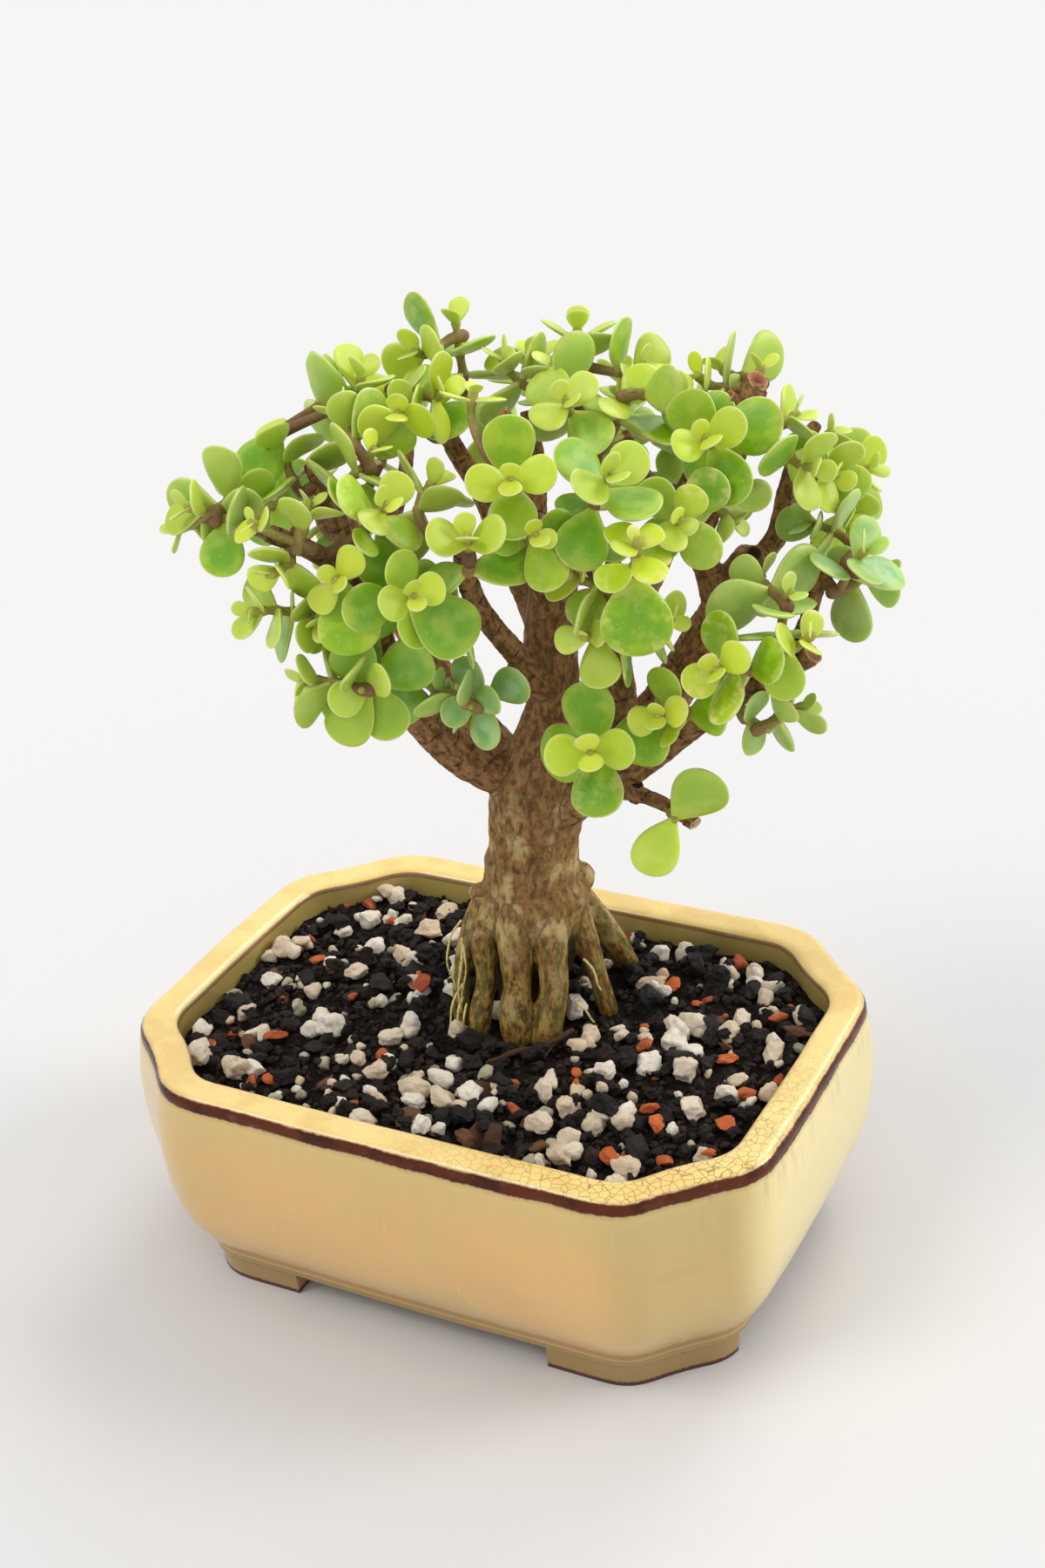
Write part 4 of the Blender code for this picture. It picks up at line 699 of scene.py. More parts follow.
# The opposite pairs of one tip, each pair turned a quarter against the next.
def layLeaves(foliage, name, tip, route, tipRow, taken, chance):
    roll, pairs, largest = tipRow[5:8]
    for level, depth in enumerate(pairDepths(tipRow)):
        levelTurn = roll + 90 * level + chance.uniform(-8, 8)
        crowded = any(abs(depth - joint) < growth["jointSpacing"] for joint in taken)
        if crowded or depth > lengthOf(route) - growth["nodeHalf"]:
            continue
        foot, axis = pointBelow(route, depth)
        upright = across(Vector((0, 0, 1)), axis)
        for side in (0, 180):
            size = largest * growth["pairSizes"][pairs][level] * chance.uniform(0.92, 1.06)
            spread = growth["pairSpreads"][pairs][level] + chance.uniform(-6, 6)
            for share, wider, turned in growth["leafTries"]:
                outward = Matrix.Rotation(math.radians(levelTurn + side + turned), 3, axis) @ upright
                angle = math.radians(spread + wider)
                pointing = axis * math.cos(angle) + outward * math.sin(angle)
                facing = axis * math.sin(angle) - outward * math.cos(angle)
                place = leafPlace(foot - pointing * growth["leafSink"], pointing, facing)
                if foliage.fits(place, size * share, name):
                    foliage.add(name, tip, depth, place, size * share)
                    break


# One old leaf, whose foot is moved onto the nearest free place on a stem of its shoot.
def layLoneLeaf(foliage, name, shoot, foot, heading, lift, length):
    places = []
    for tip, (route, tipRow) in enumerate(zip(shoot["routes"], shoot["tips"])):
        for depth in freeDepths(route, pairDepths(tipRow) + (shoot["forks"] if tip == 0 else [])):
            point, _ = pointBelow(route, depth)
            places.append(((point - Vector(foot)).length, tip, depth, point))
    _, tip, depth, point = min(places, key=lambda place: place[0])
    for share, wider, turned in growth["leafTries"]:
        pointing = direction(heading + turned, lift + wider)
        place = leafPlace(point - pointing * growth["leafSink"], pointing, Vector((0, -1, 0.7)))
        if foliage.fits(place, length * share, name):
            foliage.add(name, tip, depth, place, length * share)
            return


# Lays all wood first and then all leaves. Returns the shoots and the leaves.
def grow():
    wood = Wood()
    carriers = {}
    for name, routes in {"trunk": (trunkRoute, *rootRoutes), **limbRoutes}.items():
        carriers[name] = [routeOf(points) for points in routes]
        for route in carriers[name]:
            wood.add(name, route)
    shoots = {}
    for carrier, rows in shootRows.items():
        for name, tips in rows:
            start, leave = seatOn(wood, carrier, carriers[carrier], Vector(tips[0][:3]))
            first = layStem(wood, name, carrier, start, leave, tips[0])
            wood.add(name, first)
            shoot = {"tips": tips, "forks": [], "routes": [first]}
            for tipRow in tips[1:]:
                depth, start, leave = forkSeat(first, tipRow)
                shoot["forks"].append(depth)
                shoot["routes"].append(layStem(wood, name, carrier, start, leave, tipRow))
                wood.add(name, shoot["routes"][-1])
            shoots[name] = shoot
    foliage, chance = Foliage(wood), random.Random(growth["seed"])
    for name, foot, heading, lift, length in loneLeaves:
        layLoneLeaf(foliage, name, shoots[name], foot, heading, lift, length)
    lone = list(foliage.leaves)
    for name, shoot in shoots.items():
        for tip, (route, tipRow) in enumerate(zip(shoot["routes"], shoot["tips"])):
            taken = [leaf["depth"] for leaf in lone if (leaf["name"], leaf["tip"]) == (name, tip)]
            taken += shoot["forks"] if tip == 0 else []
            layLeaves(foliage, name, tip, route, tipRow, taken, chance)
    return shoots, foliage.leaves


treeStand = {"place": (3, 12, 0), "turn": 28}  # mm and degrees against the pot
potPlaceMm = Matrix.Translation(potPlace) @ Matrix.Scale(mm, 4)
treeTurn = Matrix.Rotation(math.radians(treeStand["turn"]), 4, "Z")
treePlace = potPlaceMm @ Matrix.Translation(treeStand["place"]) @ treeTurn


def placed(points, place):  # many points at once, by a 4 x 4 matrix
    matrix = np.array(place)
    return np.asarray(points) @ matrix[:3, :3].T + matrix[:3, 3]


# wood: trunk, roots and limbs under one bark
woodSkin = {
    "spacing": 0.8,  # mm between the rings of the first tubes
    "sides": 16,
    "voxel": 0.63,  # mm
    "smoothing": 5,
    "rootShare": 0.88,  # of the roots' thickness, so that dark gaps part them as they swell and shrink
    "scarGap": (2.4, 5.6),  # mm between the leaf scars round a limb
    "scarWide": 0.36,
    "scarDeep": 0.17,
    "scarLip": (0.6, 1.0, 0.6),  # its height over the scar's depth, how far beside it and how wide
    "scarWobble": (0.3, 0.9),  # mm, so that no scar runs straight round
    "lumpSize": 5.0,  # mm
    "lump": 0.06,  # as a share of the radius
    "ridge": 0.15,  # mm, long ridges down the trunk and roots
    "oldFrom": (2.2, 5),  # mm of radius, from young wood to old
    "grain": 0.05,  # mm
    "drawnOut": 0.22,  # of ridges and grain along the wood
    "blend": 1.6,  # mm, over which two limbs' marks fade where they meet
    "shadedCoreTop": (77, 7),  # mm, below which the trunk is painted dark between its roots as shade, and how soon
    "knob": ((-0.5, 0.8), (0, 1), (0.45, 0.8)),  # height and width over a knob's radius
    "knobEnds": (0.6, 0.45),
    "numbersApart": 200,  # mm between the patterns of one limb and the next
    "limbEnd": (0.86, 0.3),  # width and height of a limb's end over its radius
}


# An even curve through rows of numbers. stepsOf gives the steps from one row to the next.
def smoothCurve(knots, stepsOf):
    knots = np.array(knots)
    ends = np.vstack([2 * knots[0] - knots[1], knots, 2 * knots[-1] - knots[-2]])
    rows = []
    for before, start, end, after in zip(ends, ends[1:], ends[2:], ends[3:]):
        steps = stepsOf(start, end)
        for t in np.arange(steps) / steps:
            curve = 2 * start + (end - before) * t + (2 * before - 5 * start + 4 * end - after) * t * t
            rows.append(0.5 * (curve + (3 * start - before - 3 * end + after) * t ** 3))
    return np.array(rows + [knots[-1]])


def smoothRun(route, spacing):  # rows of x, y, z, radius along a route
    def stepsOf(start, end):
        return max(2, round(float(np.linalg.norm(end[:3] - start[:3])) / spacing))

    return smoothCurve([(*point, radius) for point, radius in route], stepsOf)


def lengthsAlong(points):
    return np.concatenate([[0], np.cumsum(np.linalg.norm(np.diff(points, axis=0), axis=1))])


def turnedFrames(points):  # heading, side and up along a curve, without twist
    headings = np.gradient(points, axis=0)
    headings /= np.linalg.norm(headings, axis=1)[:, None]
    side = np.array(across(Vector((1, 0.2, 0.1)), Vector(headings[0])))
    sides = []
    for heading in headings:
        side = side - heading * side.dot(heading)
        side = side / np.linalg.norm(side)
        sides.append(side)
    sides = np.array(sides)
    return headings, sides, np.cross(headings, sides)


def loftSkin(rings, closed=True):  # a skin through rings of equal count, with flat ends or joined end to end
    count, last = len(rings[0]), len(rings) - 1 if closed else len(rings)
    faces = []
    for ring in range(last):
        first, second = ring * count, (ring + 1) % len(rings) * count
        for index in range(count):
            following = (index + 1) % count
            faces.append((first + index, first + following, second + following, second + index))
    if closed:
        faces += [tuple(reversed(range(count))), tuple(range((len(rings) - 1) * count, len(rings) * count))]
    return np.vstack(rings), faces


def tubeSkin(run, count, endWidth, endRise):  # a closed tube along rows of x, y, z, radius
    points, radii = run[:, :3], run[:, 3]
    headings, sides, ups = turnedFrames(points)
    angles = np.arange(count) * 2 * math.pi / count
    rounds = sides[:, None] * np.cos(angles)[:, None] + ups[:, None] * np.sin(angles)[:, None]
    rings = [points[0] - headings[0] * radii[0] * endRise + rounds[0] * radii[0] * endWidth]
    rings += [point + ring * radius for point, ring, radius in zip(points, rounds, radii)]
    rings.append(points[-1] + headings[-1] * radii[-1] * endRise + rounds[-1] * radii[-1] * endWidth)
    return loftSkin(rings)


def usedOnly(faces):  # the points that the faces use, and the faces numbered for these alone
    used = sorted({index for face in faces for index in face})
    renumber = {old: new for new, old in enumerate(used)}
    return used, [tuple(renumber[index] for index in face) for face in faces]


def joinSkins(skins):
    points, faces, first = [], [], 0
    for spots, polygons in skins:
        points.append(spots)
        faces += [tuple(first + index for index in face) for face in polygons]
        first += len(spots)
    return np.vstack(points), faces


def shapedBy(mesh, changes):  # the mesh after modifiers: (kind, settings) for each
    holder = sceneObject("shaping", mesh)
    for kind, settings in changes:
        modifier = holder.modifiers.new(kind, kind)
        for name, value in settings.items():
            setattr(modifier, name, value)
    shaped = bpy.data.meshes.new_from_object(holder.evaluated_get(bpy.context.evaluated_depsgraph_get()))
    bpy.data.objects.remove(holder)
    return shaped


def vectorsOf(rows, name):
    vectors = np.empty(len(rows) * 3)
    rows.foreach_get(name, vectors)
    return vectors.reshape(-1, 3)


def pushOut(mesh, push):  # moves each point out of the surface, by its own distance in mm
    spots = vectorsOf(mesh.vertices, "co") + vectorsOf(mesh.vertex_normals, "vector") * push[:, None] * mm
    mesh.vertices.foreach_set("co", np.ascontiguousarray(spots, dtype=np.float32).ravel())
    mesh.update()


def roughness(spots, size, octaves=3, seed=0.0):  # smooth noise in about -1..1, with lumps of the given size
    shift = Vector((seed * 17.3, seed * 5.1, seed * 9.7))
    return np.array([noise.fractal(Vector(spot) / size + shift, 1.0, 2.0, octaves) for spot in spots])


def woodRoutes():  # every run of the trunk, roots and limbs, with how much leaf scars ring it
    rows = [(routeOf(trunkRoute), 0.35)]
    for route in rootRoutes:
        rows.append(([(spot, radius * woodSkin["rootShare"]) for spot, radius in routeOf(route)], 0.0))
    return rows + [(routeOf(route), 1.0) for routes in limbRoutes.values() for route in routes]


# For each spot: the run it belongs to, its place on that run, and how clearly it belongs there.
def nearestRuns(spots, runs):
    best = np.full((len(spots), 2), np.inf)
    owner = np.zeros((len(spots), 2), dtype=int)
    for index, run in enumerate(runs):
        depth = np.full(len(spots), np.inf)
        place = np.zeros(len(spots), dtype=int)
        for part in np.array_split(np.arange(len(spots)), 8):
            gaps = np.linalg.norm(spots[part, None] - run["points"][None], axis=2) - run["radii"][None]
            place[part], depth[part] = gaps.argmin(1), gaps.min(1)
        closer = depth < best[:, 0]
        best[closer, 1], best[closer, 0] = best[closer, 0], depth[closer]
        owner[closer, 0], owner[closer, 1] = index, place[closer]
        between = ~closer & (depth < best[:, 1])
        best[between, 1] = depth[between]
    return owner[:, 0], owner[:, 1], np.clip((best[:, 1] - best[:, 0]) / woodSkin["blend"], 0, 1)


def barkSkin():
    skins, runs = [], []
    chance = random.Random(11)
    for number, (route, ringed) in enumerate(woodRoutes()):
        run = smoothRun(route, woodSkin["spacing"])
        skins.append(tubeSkin(run, woodSkin["sides"], *woodSkin["limbEnd"]))
        headings, sides, ups = turnedFrames(run[:, :3])
        lengths = lengthsAlong(run[:, :3])
        scars = [0.0]
        while scars[-1] < lengths[-1] + 5:
            wide = np.interp(scars[-1], lengths, run[:, 3])
            # old and thick wood has stretched its scars apart
            scars.append(scars[-1] + chance.uniform(*woodSkin["scarGap"]) * (0.75 + 0.09 * wide))
        runs.append({
            "points": run[:, :3], "radii": run[:, 3], "headings": headings, "sides": sides, "ups": ups,
            "lengths": lengths, "scars": np.array(scars), "ringed": ringed, "number": number,
        })
    for x, y, z, radius in rootKnobs:
        rows = [(x, y, z + radius * rise, radius * share) for rise, share in woodSkin["knob"]]
        skins.append(tubeSkin(np.array(rows), 12, *woodSkin["knobEnds"]))
    points, faces = joinSkins(skins)
    tubes = meshOf("tubes", placed(points, treePlace), faces, jadeBark)
    remesh = {"mode": "VOXEL", "voxel_size": woodSkin["voxel"] * mm, "use_smooth_shade": True}
    smooth = {"factor": 0.5, "iterations": woodSkin["smoothing"]}
    return shapedBy(tubes, (("REMESH", remesh), ("SMOOTH", smooth))), runs


def carveBark(skin, runs):  # scars, ridges and lumps, and the numbers that the bark's colours follow
    spots = placed(vectorsOf(skin.vertices, "co"), treePlace.inverted())
    owner, place, clear = nearestRuns(spots, runs)
    w, (swing, stray) = woodSkin, woodSkin["scarWobble"]
    along, around, radius, rings, ringed = (np.zeros(len(spots)) for _ in range(5))
    uneven = roughness(spots, 3.4, 2, 8)
    local = np.zeros((len(spots), 3))
    for index, run in enumerate(runs):
        mine = np.where(owner == index)[0]
        if not len(mine):
            continue
        at = place[mine]
        offset = spots[mine] - run["points"][at]
        along[mine] = run["lengths"][at] + (offset * run["headings"][at]).sum(1)
        east, north = (offset * run["sides"][at]).sum(1), (offset * run["ups"][at]).sum(1)
        around[mine] = np.arctan2(north, east)
        radius[mine] = run["radii"][at]
        wobble = swing * np.sin(around[mine] * 2 + run["number"]) + stray * uneven[mine]
        rings[mine] = np.interp(along[mine] + wobble, run["scars"], np.arange(len(run["scars"])))
        ringed[mine] = run["ringed"]
        local[mine] = np.column_stack([east, north, along[mine] + w["numbersApart"] * run["number"]])
    away = np.abs(rings - np.round(rings)) * np.mean(w["scarGap"])
    depth = w["scarDeep"] * (0.5 + 0.4 * np.sin(np.round(rings) * 2.3) + 0.5 * uneven) * ringed * clear
    lip, beside, lipWide = w["scarLip"]
    push = -depth * np.exp(-(away / w["scarWide"]) ** 2)
    push += lip * depth * np.exp(-((away - beside) / lipWide) ** 2)
    stretched = local * np.array((1, 1, w["drawnOut"]))
    old = np.clip((radius - w["oldFrom"][0]) / w["oldFrom"][1], 0, 1) * (1 - 0.75 * ringed)
    push += w["ridge"] * roughness(stretched, 2.2, 3, 2) * (0.3 + old) * clear
    push += w["lump"] * radius * roughness(spots, w["lumpSize"], 2, 1)
    push += w["grain"] * roughness(stretched, 1.1, 2, 3)
    pushOut(skin, push)
    keepNumbers(skin, "rings", rings)
    keepNumbers(skin, "ringed", ringed * clear)
    # painted shade: low on the trunk, between its roots, the bark is darkened as if in their shade
    low = np.clip((w["shadedCoreTop"][0] - spots[:, 2]) / w["shadedCoreTop"][1], 0, 1)
    keepNumbers(skin, "shadedCore", (owner == 0) * low * (0.3 + 0.7 * clear))
    keepNumbers(skin, "barkPlace", local.ravel(), "FLOAT_VECTOR", "vector")


# bark of an old jade: thin, dry and corky. Tan and grey with moss green on the roots, and brown on the limbs,
# where old leaf pairs left fine dark rings
barkColours = {
    "rootPale": "#A3823F", "rootDeep": "#503915", "rootRed": "#884A30", "rootGrey": "#B09C66",
    "trunkPale": "#9C7842", "trunkDeep": "#60431F", "trunkPink": "#966A46", "trunkCream": "#CDB780",
    "limbPale": "#A0764A", "limbDeep": "#614120", "moss": "#555A1C",
    # 241910 is painted shade for the trunk low between its roots, and #24160C is painted shade in the bark's
    # hollows
    "scar": "#3F2818", "streak": "#3C2A16", "creaseShade": "#24160C", "shadedCore": "#241910", "fleck": "#D6C596",
}


def barkMaterial():
    material, tree, shader, read = startMaterial("jadeBark", {"Specular IOR Level": 0.36}, {
        "cloud": (6.25, 2, 0.5), "patches": (4.17, 3, 0.55), "fine": (0.3125, 3, 0.6),
        # these follow the wood: two sizes across it and one along it
        "breaks": (1.43, 2, 0.5, "barkPlace"), "grain": ((1.25, 1.25, 2.5), 5, 0.62, "barkPlace"),
        "flecks": ((0.833, 0.833, 1.11), 4, 0.65, "barkPlace"),
        "mottle": ((4.17, 4.17, 7.14), 4, 0.6, "barkPlace"),
        "streaks": ((0.667, 0.667, 2), 4, 0.65, "barkPlace"),
        "creases": ((3.33, 3.33, 0.667), 3, 0.6, "barkPlace"),
        "greens": ((1.67, 1.67, 11.1), 2, 0.5, "barkPlace"),
    }, ("rings", "ringed", "shadedCore", "barkPlace"))
    c = barkColours
    # the wood's kind follows its height, with a ragged border
    edge = addNode(tree, "Math", {0: read["cloud"], 1: 34.0, 2: read["height"]}, operation="MULTIPLY_ADD")
    upper = addNode(tree, "Math", {0: read["ringed"], 1: 34.0, 2: edge}, operation="MULTIPLY_ADD")
    root = addCoats(tree, c["rootDeep"], (
        (read["grain"], 0.38, 0.6, 1.0, c["rootPale"]), (read["mottle"], 0.52, 0.64, 0.6, c["rootGrey"]),
        (read["greens"], 0.5, 0.62, 0.7, c["moss"]), (read["patches"], 0.58, 0.66, 0.6, c["rootRed"])))
    trunk = addCoats(tree, c["trunkDeep"], (
        (read["grain"], 0.34, 0.66, 1.0, c["trunkPale"]), (read["patches"], 0.5, 0.62, 0.5, c["trunkPink"]),
        (read["mottle"], 0.48, 0.64, 0.7, c["trunkCream"])))
    limb = addCoats(tree, c["limbDeep"], (
        (read["grain"], 0.36, 0.62, 1.0, c["limbPale"]), (read["patches"], 0.58, 0.72, 0.3, c["moss"])))
    # a fine dark line at each old leaf scar, broken here and there
    away = addNode(tree, "Math", {0: read["rings"], 1: 0.5}, operation="PINGPONG")
    line = addNode(tree, "MapRange", {"Value": read["breaks"], "From Min": 0.42, "From Max": 0.6,
                                      "To Max": read["ringed"]}, interpolation_type="SMOOTHSTEP")
    # painted shade: where the skin is hollow (low pointiness) the bark is darkened to #24160C, as shade in
    # its crevices
    hollowShade = addNode(tree, "NewGeometry", output="Pointiness")
    tone = addCoats(tree, root, (
        (edge, 84, 98, 1.0, trunk), (upper, 124, 142, 1.0, limb),
        (read["flecks"], 0.58, 0.72, 0.25, c["fleck"]), (read["streaks"], 0.56, 0.72, 0.28, c["streak"]),
        (read["creases"], 0.36, 0.28, 0.4, c["scar"]), (away, 0.1, 0.03, line, c["scar"]),
        # the last two coats are painted shade: in the skin's hollows, and on the trunk low between its roots
        (hollowShade, 0.49, 0.43, 0.75, c["creaseShade"]), (read["shadedCore"], 0.1, 0.8, 0.8, c["shadedCore"])))
    dry = addNode(tree, "MapRange", {"Value": edge, "From Min": 78, "From Max": 98,
                                     "To Min": 0.4, "To Max": 0.82})
    tree.links.new(dry, shader.inputs["Roughness"])  # the roots are damp
    return finishMaterial(material, tone, (
        (read["grain"], 0.3, 0.6), (read["streaks"], 0.1, 0.5), (read["creases"], 0.24, 0.6),
        (read["fine"], 0.08, 0.6)))


jadeBark = barkMaterial()
skin, runs = barkSkin()
carveBark(skin, runs)
addPiece("treeWood", skin, "bark", "trunk", *limbRoutes)
print("bark made,", len(skin.vertices), "points")


# shoots: thin stems with swollen joints, and thick waxy leaves in opposite pairs
leafShape = {
    "rows": 17,
    "columns": 10,
    "base": 0.09,  # width where the blade leaves its stem, over the widest
    "belly": (0.58, 0.69),  # where along the blade it is widest
    "half": 0.39,  # half of its width over its length
    "thick": (0.062, 0.078),  # half of its thickness over its length
    "cup": (-0.05, 0.16),  # how far the sides rise, over half the width
    "curl": (-0.13, 0.07),  # how far the end rises, over the length
    "wave": 0.02,  # of the length, round the edge
    "twist": 9,  # degrees either way
    "end": 0.9985,  # share of the length that the last row lies at, since a point there would crease
    "seed": 23,
}
stemShape = {
    "spacing": 0.5, "sides": 10, "sink": 1.6, "ends": (0.7, 0.6),
    "share": 0.92,  # of the thickness that the growth gives
    "joint": 0.36, "jointHalf": 0.7,  # mm that a joint stands out, and half its height
    "collar": (0.12, 1.6),  # the same where the stem leaves the wood
    "youngPart": 26,  # mm below the tip, where a stem has turned brown
}
# kept for each point: distance from the edge over 4 mm, place along the blade (on a stem: below the tip, and
# from a joint), age, tint, blue bloom, golden patches, and 1 on the upper face
leafNumbers = ("edge", "along", "age", "tint", "blue", "gold", "upper")

# how the leaves of some shoots differ: blue bloom, and dry golden patches
leafKinds = {
    "blue_cluster": (0.95, 0.0), "left_inner": (0.5, 0.1), "left_drooping": (0.4, 0.0),
    "lower_rosette": (0.1, 0.9), "low_left": (0.35, 0.0), "lower_front": (0.1, 0.45),
    "right_cluster": (0.8, 0.05), "right_hanging": (0.7, 0.0), "middle_inner": (0.3, 0.5),
    "right_front": (0.25, 0.55), "right_level": (0.5, 0.3), "twig_end": (0.45, 0.0),
    "middle_sprig": (0.0, 0.5), "front_middle": (0.1, 0.4), "low_rosette": (0.15, 0.5),
    "back_right": (0.5, 0.1), "back_left": (0.3, 0.2), "back_left_low": (0.6, 0.1),
}


def bladeOutline(share, belly):  # half width over the widest, for shares of the length
    lower = np.clip(share / belly, 0, 1)
    upper = np.clip((share - belly) / (1 - belly), 0, 1)
    base = leafShape["base"]
    rising = base + (1 - base) * np.sin(lower * math.pi / 2) ** 1.12
    return np.where(share < belly, rising, np.sqrt(1 - upper ** 2.15))


def leafSkin(leaf, chance):
    s = leafShape
    length, place = leaf["length"], leaf["place"]
    belly, half = chance.uniform(*s["belly"]), s["half"] * length * chance.uniform(0.96, 1.07)
    thick, cup = chance.uniform(*s["thick"]) * length, chance.uniform(*s["cup"])
    curl, phase = chance.uniform(*s["curl"]), chance.uniform(0, 6.28)
    twist = math.radians(chance.uniform(-s["twist"], s["twist"]))
    # shares of the length and of the half width, which lie closer together towards the edge
    share = np.sin(np.linspace(0, 1, s["rows"]) * math.pi / 2) ** 1.15
    sideways = np.sin(np.linspace(-1, 1, s["columns"] + 1) * math.pi / 2)
    share[-1] = s["end"]
    width = bladeOutline(share, belly) * half
    x = np.repeat(share[:, None] * length, len(sideways), axis=1)
    y = width[:, None] * sideways
    # thinner at the foot and round to the edge
    swell = thick * (0.55 + 0.45 * np.clip(share / 0.25, 0, 1)) * np.sqrt(1 - share ** 5)
    body = swell[:, None] * np.sqrt(np.clip(1 - np.abs(sideways) ** 2.6, 0, 1))
    angle = np.arctan2(y, x - length * 0.5)
    bend = curl * length * (x / length) ** 2 + cup * y ** 2 / half
    bend += s["wave"] * length * np.sin(2 * angle + phase) * (y / half) ** 2
    bend += np.tan(twist) * y * (x / length)
    upper = np.stack([x, y, bend + body * 0.9], axis=2).reshape(-1, 3)
    lower = np.stack([x, y, bend - body * 1.1], axis=2).reshape(-1, 3)
    rows, columns = len(share), len(sideways)
    # the two faces share the points of the edge
    number = np.arange(rows * columns).reshape(rows, columns)
    under = number + rows * columns
    under[:, 0], under[:, -1], under[-1, :] = number[:, 0], number[:, -1], number[-1, :]
    upper.reshape(rows, columns, 3)[:, (0, -1), 2] = bend[:, (0, -1)]
    faces = []
    for row in range(rows - 1):
        for column in range(columns - 1):
            quad = [(row, column), (row + 1, column), (row + 1, column + 1), (row, column + 1)]
            faces.append(tuple(number[spot] for spot in quad))
            faces.append(tuple(under[spot] for spot in reversed(quad)))
    faces.append((*number[0], *under[0, -2:0:-1]))
    rim = np.concatenate([np.stack([x[:, 0], y[:, 0]], 1), np.stack([x[::-1, -1], y[::-1, -1]], 1)])
    flat = np.stack([x.ravel(), y.ravel()], 1)
    starts, runs = rim[:-1], np.diff(rim, axis=0)
    portion = ((flat[:, None] - starts) * runs).sum(2) / np.maximum((runs ** 2).sum(1), 1e-9)
    gaps = flat[:, None] - starts - np.clip(portion, 0, 1)[..., None] * runs
    edge = np.tile(np.linalg.norm(gaps, axis=2).min(1), 2)
    side = np.repeat([1.0, 0.0], len(flat))
    used, faces = usedOnly(faces)
    points = placed(np.vstack([upper, lower])[used], place)
    return points, faces, edge[used], np.tile(flat[:, 0] / length, 2)[used], side[used]


def stemSkins(shoot, joints):
    skins, tones = [], []
    for tip, route in enumerate(shoot["routes"]):
        run = smoothRun(route, stemShape["spacing"])
        heading = run[0, :3] - run[1, :3]
        sunk = run[0, :3] + heading / np.linalg.norm(heading) * stemShape["sink"]
        run = np.vstack([[*sunk, run[0, 3]], run])
        run[:, 3] *= stemShape["share"]
        lengths = lengthsAlong(run[:, :3])
        below = lengths[-1] - lengths
        for depth in joints[tip]:
            run[:, 3] += stemShape["joint"] * np.exp(-((below - depth) / stemShape["jointHalf"]) ** 2)
        collar, reach = stemShape["collar"]
        run[:, 3] += collar * np.exp(-(lengths / reach) ** 2)
        skins.append(tubeSkin(run, stemShape["sides"], *stemShape["ends"]))
        near = np.min([np.abs(below - depth) for depth in joints[tip]] or [below + 9], axis=0)
        rows = np.clip(np.column_stack([below / stemShape["youngPart"], near / 2]), 0, 1)
        tones.append(np.repeat(np.vstack([rows[:1], rows, rows[-1:]]), stemShape["sides"], axis=0))
    return skins, np.vstack(tones)


def addShoot(name, shoot, leaves, chance):
    blue, gold = leafKinds.get(name, (chance.uniform(0, 0.3), chance.uniform(0, 0.35)))
    joints = [{leaf["depth"] for leaf in leaves if leaf["tip"] == tip} for tip in range(len(shoot["routes"]))]
    skins, stemTones = stemSkins(shoot, [sorted(depths) for depths in joints])
    stemFaces = sum(len(faces) for _, faces in skins)
    tones = [np.column_stack([stemTones, np.zeros((len(stemTones), 5))])]
    for leaf in leaves:
        points, faces, edge, along, side = leafSkin(leaf, chance)
        # the farther from the tip and the longer, the older
        age = min(1.0, leaf["depth"] / 13 + max(0.0, leaf["length"] - 8) * 0.07 + chance.uniform(-0.12, 0.12))
        tint = chance.random()
        patchy = gold * (1.0 if chance.random() < 0.6 else 0.3)
        bloom = min(1, blue * chance.uniform(0.7, 1.1))
        same = np.tile((max(0.02, age), tint, bloom, patchy), (len(points), 1))
        skins.append((points, faces))
        tones.append(np.column_stack([np.clip(edge / 4, 0, 1), along, same, side]))
    points, faces = joinSkins(skins)
    mesh = meshOf("shoot_" + name, placed(points, treePlace), faces, jadeLeaf)
    mesh.materials.append(youngStem)
    mesh.polygons.foreach_set("material_index", [1] * stemFaces + [0] * (len(faces) - stemFaces))
    for number, values in zip(leafNumbers, np.vstack(tones).T):
        keepNumbers(mesh, number, values)
    addPiece("shoot." + name, mesh, "leaf", "shoot_" + name)


# jade leaf: thick, with a waxy skin that gives a soft satin sheen, and a little light through its flesh.
# Young leaves are lime, old ones deep green, and the edge is a fine pale line
leafColours = {
    "young": "#D8E268", "middle": "#C8D852", "old": "#A8C741", "deep": "#79AB2E",
    "bluePale": "#AACF9C", "blueDeep": "#76AE6C", "edge": "#DAE49A", "edgeRed": "#BC8258",
    "gold": "#EADD92", "underside": "#C4D678", "speck": "#E8F0B2",
}


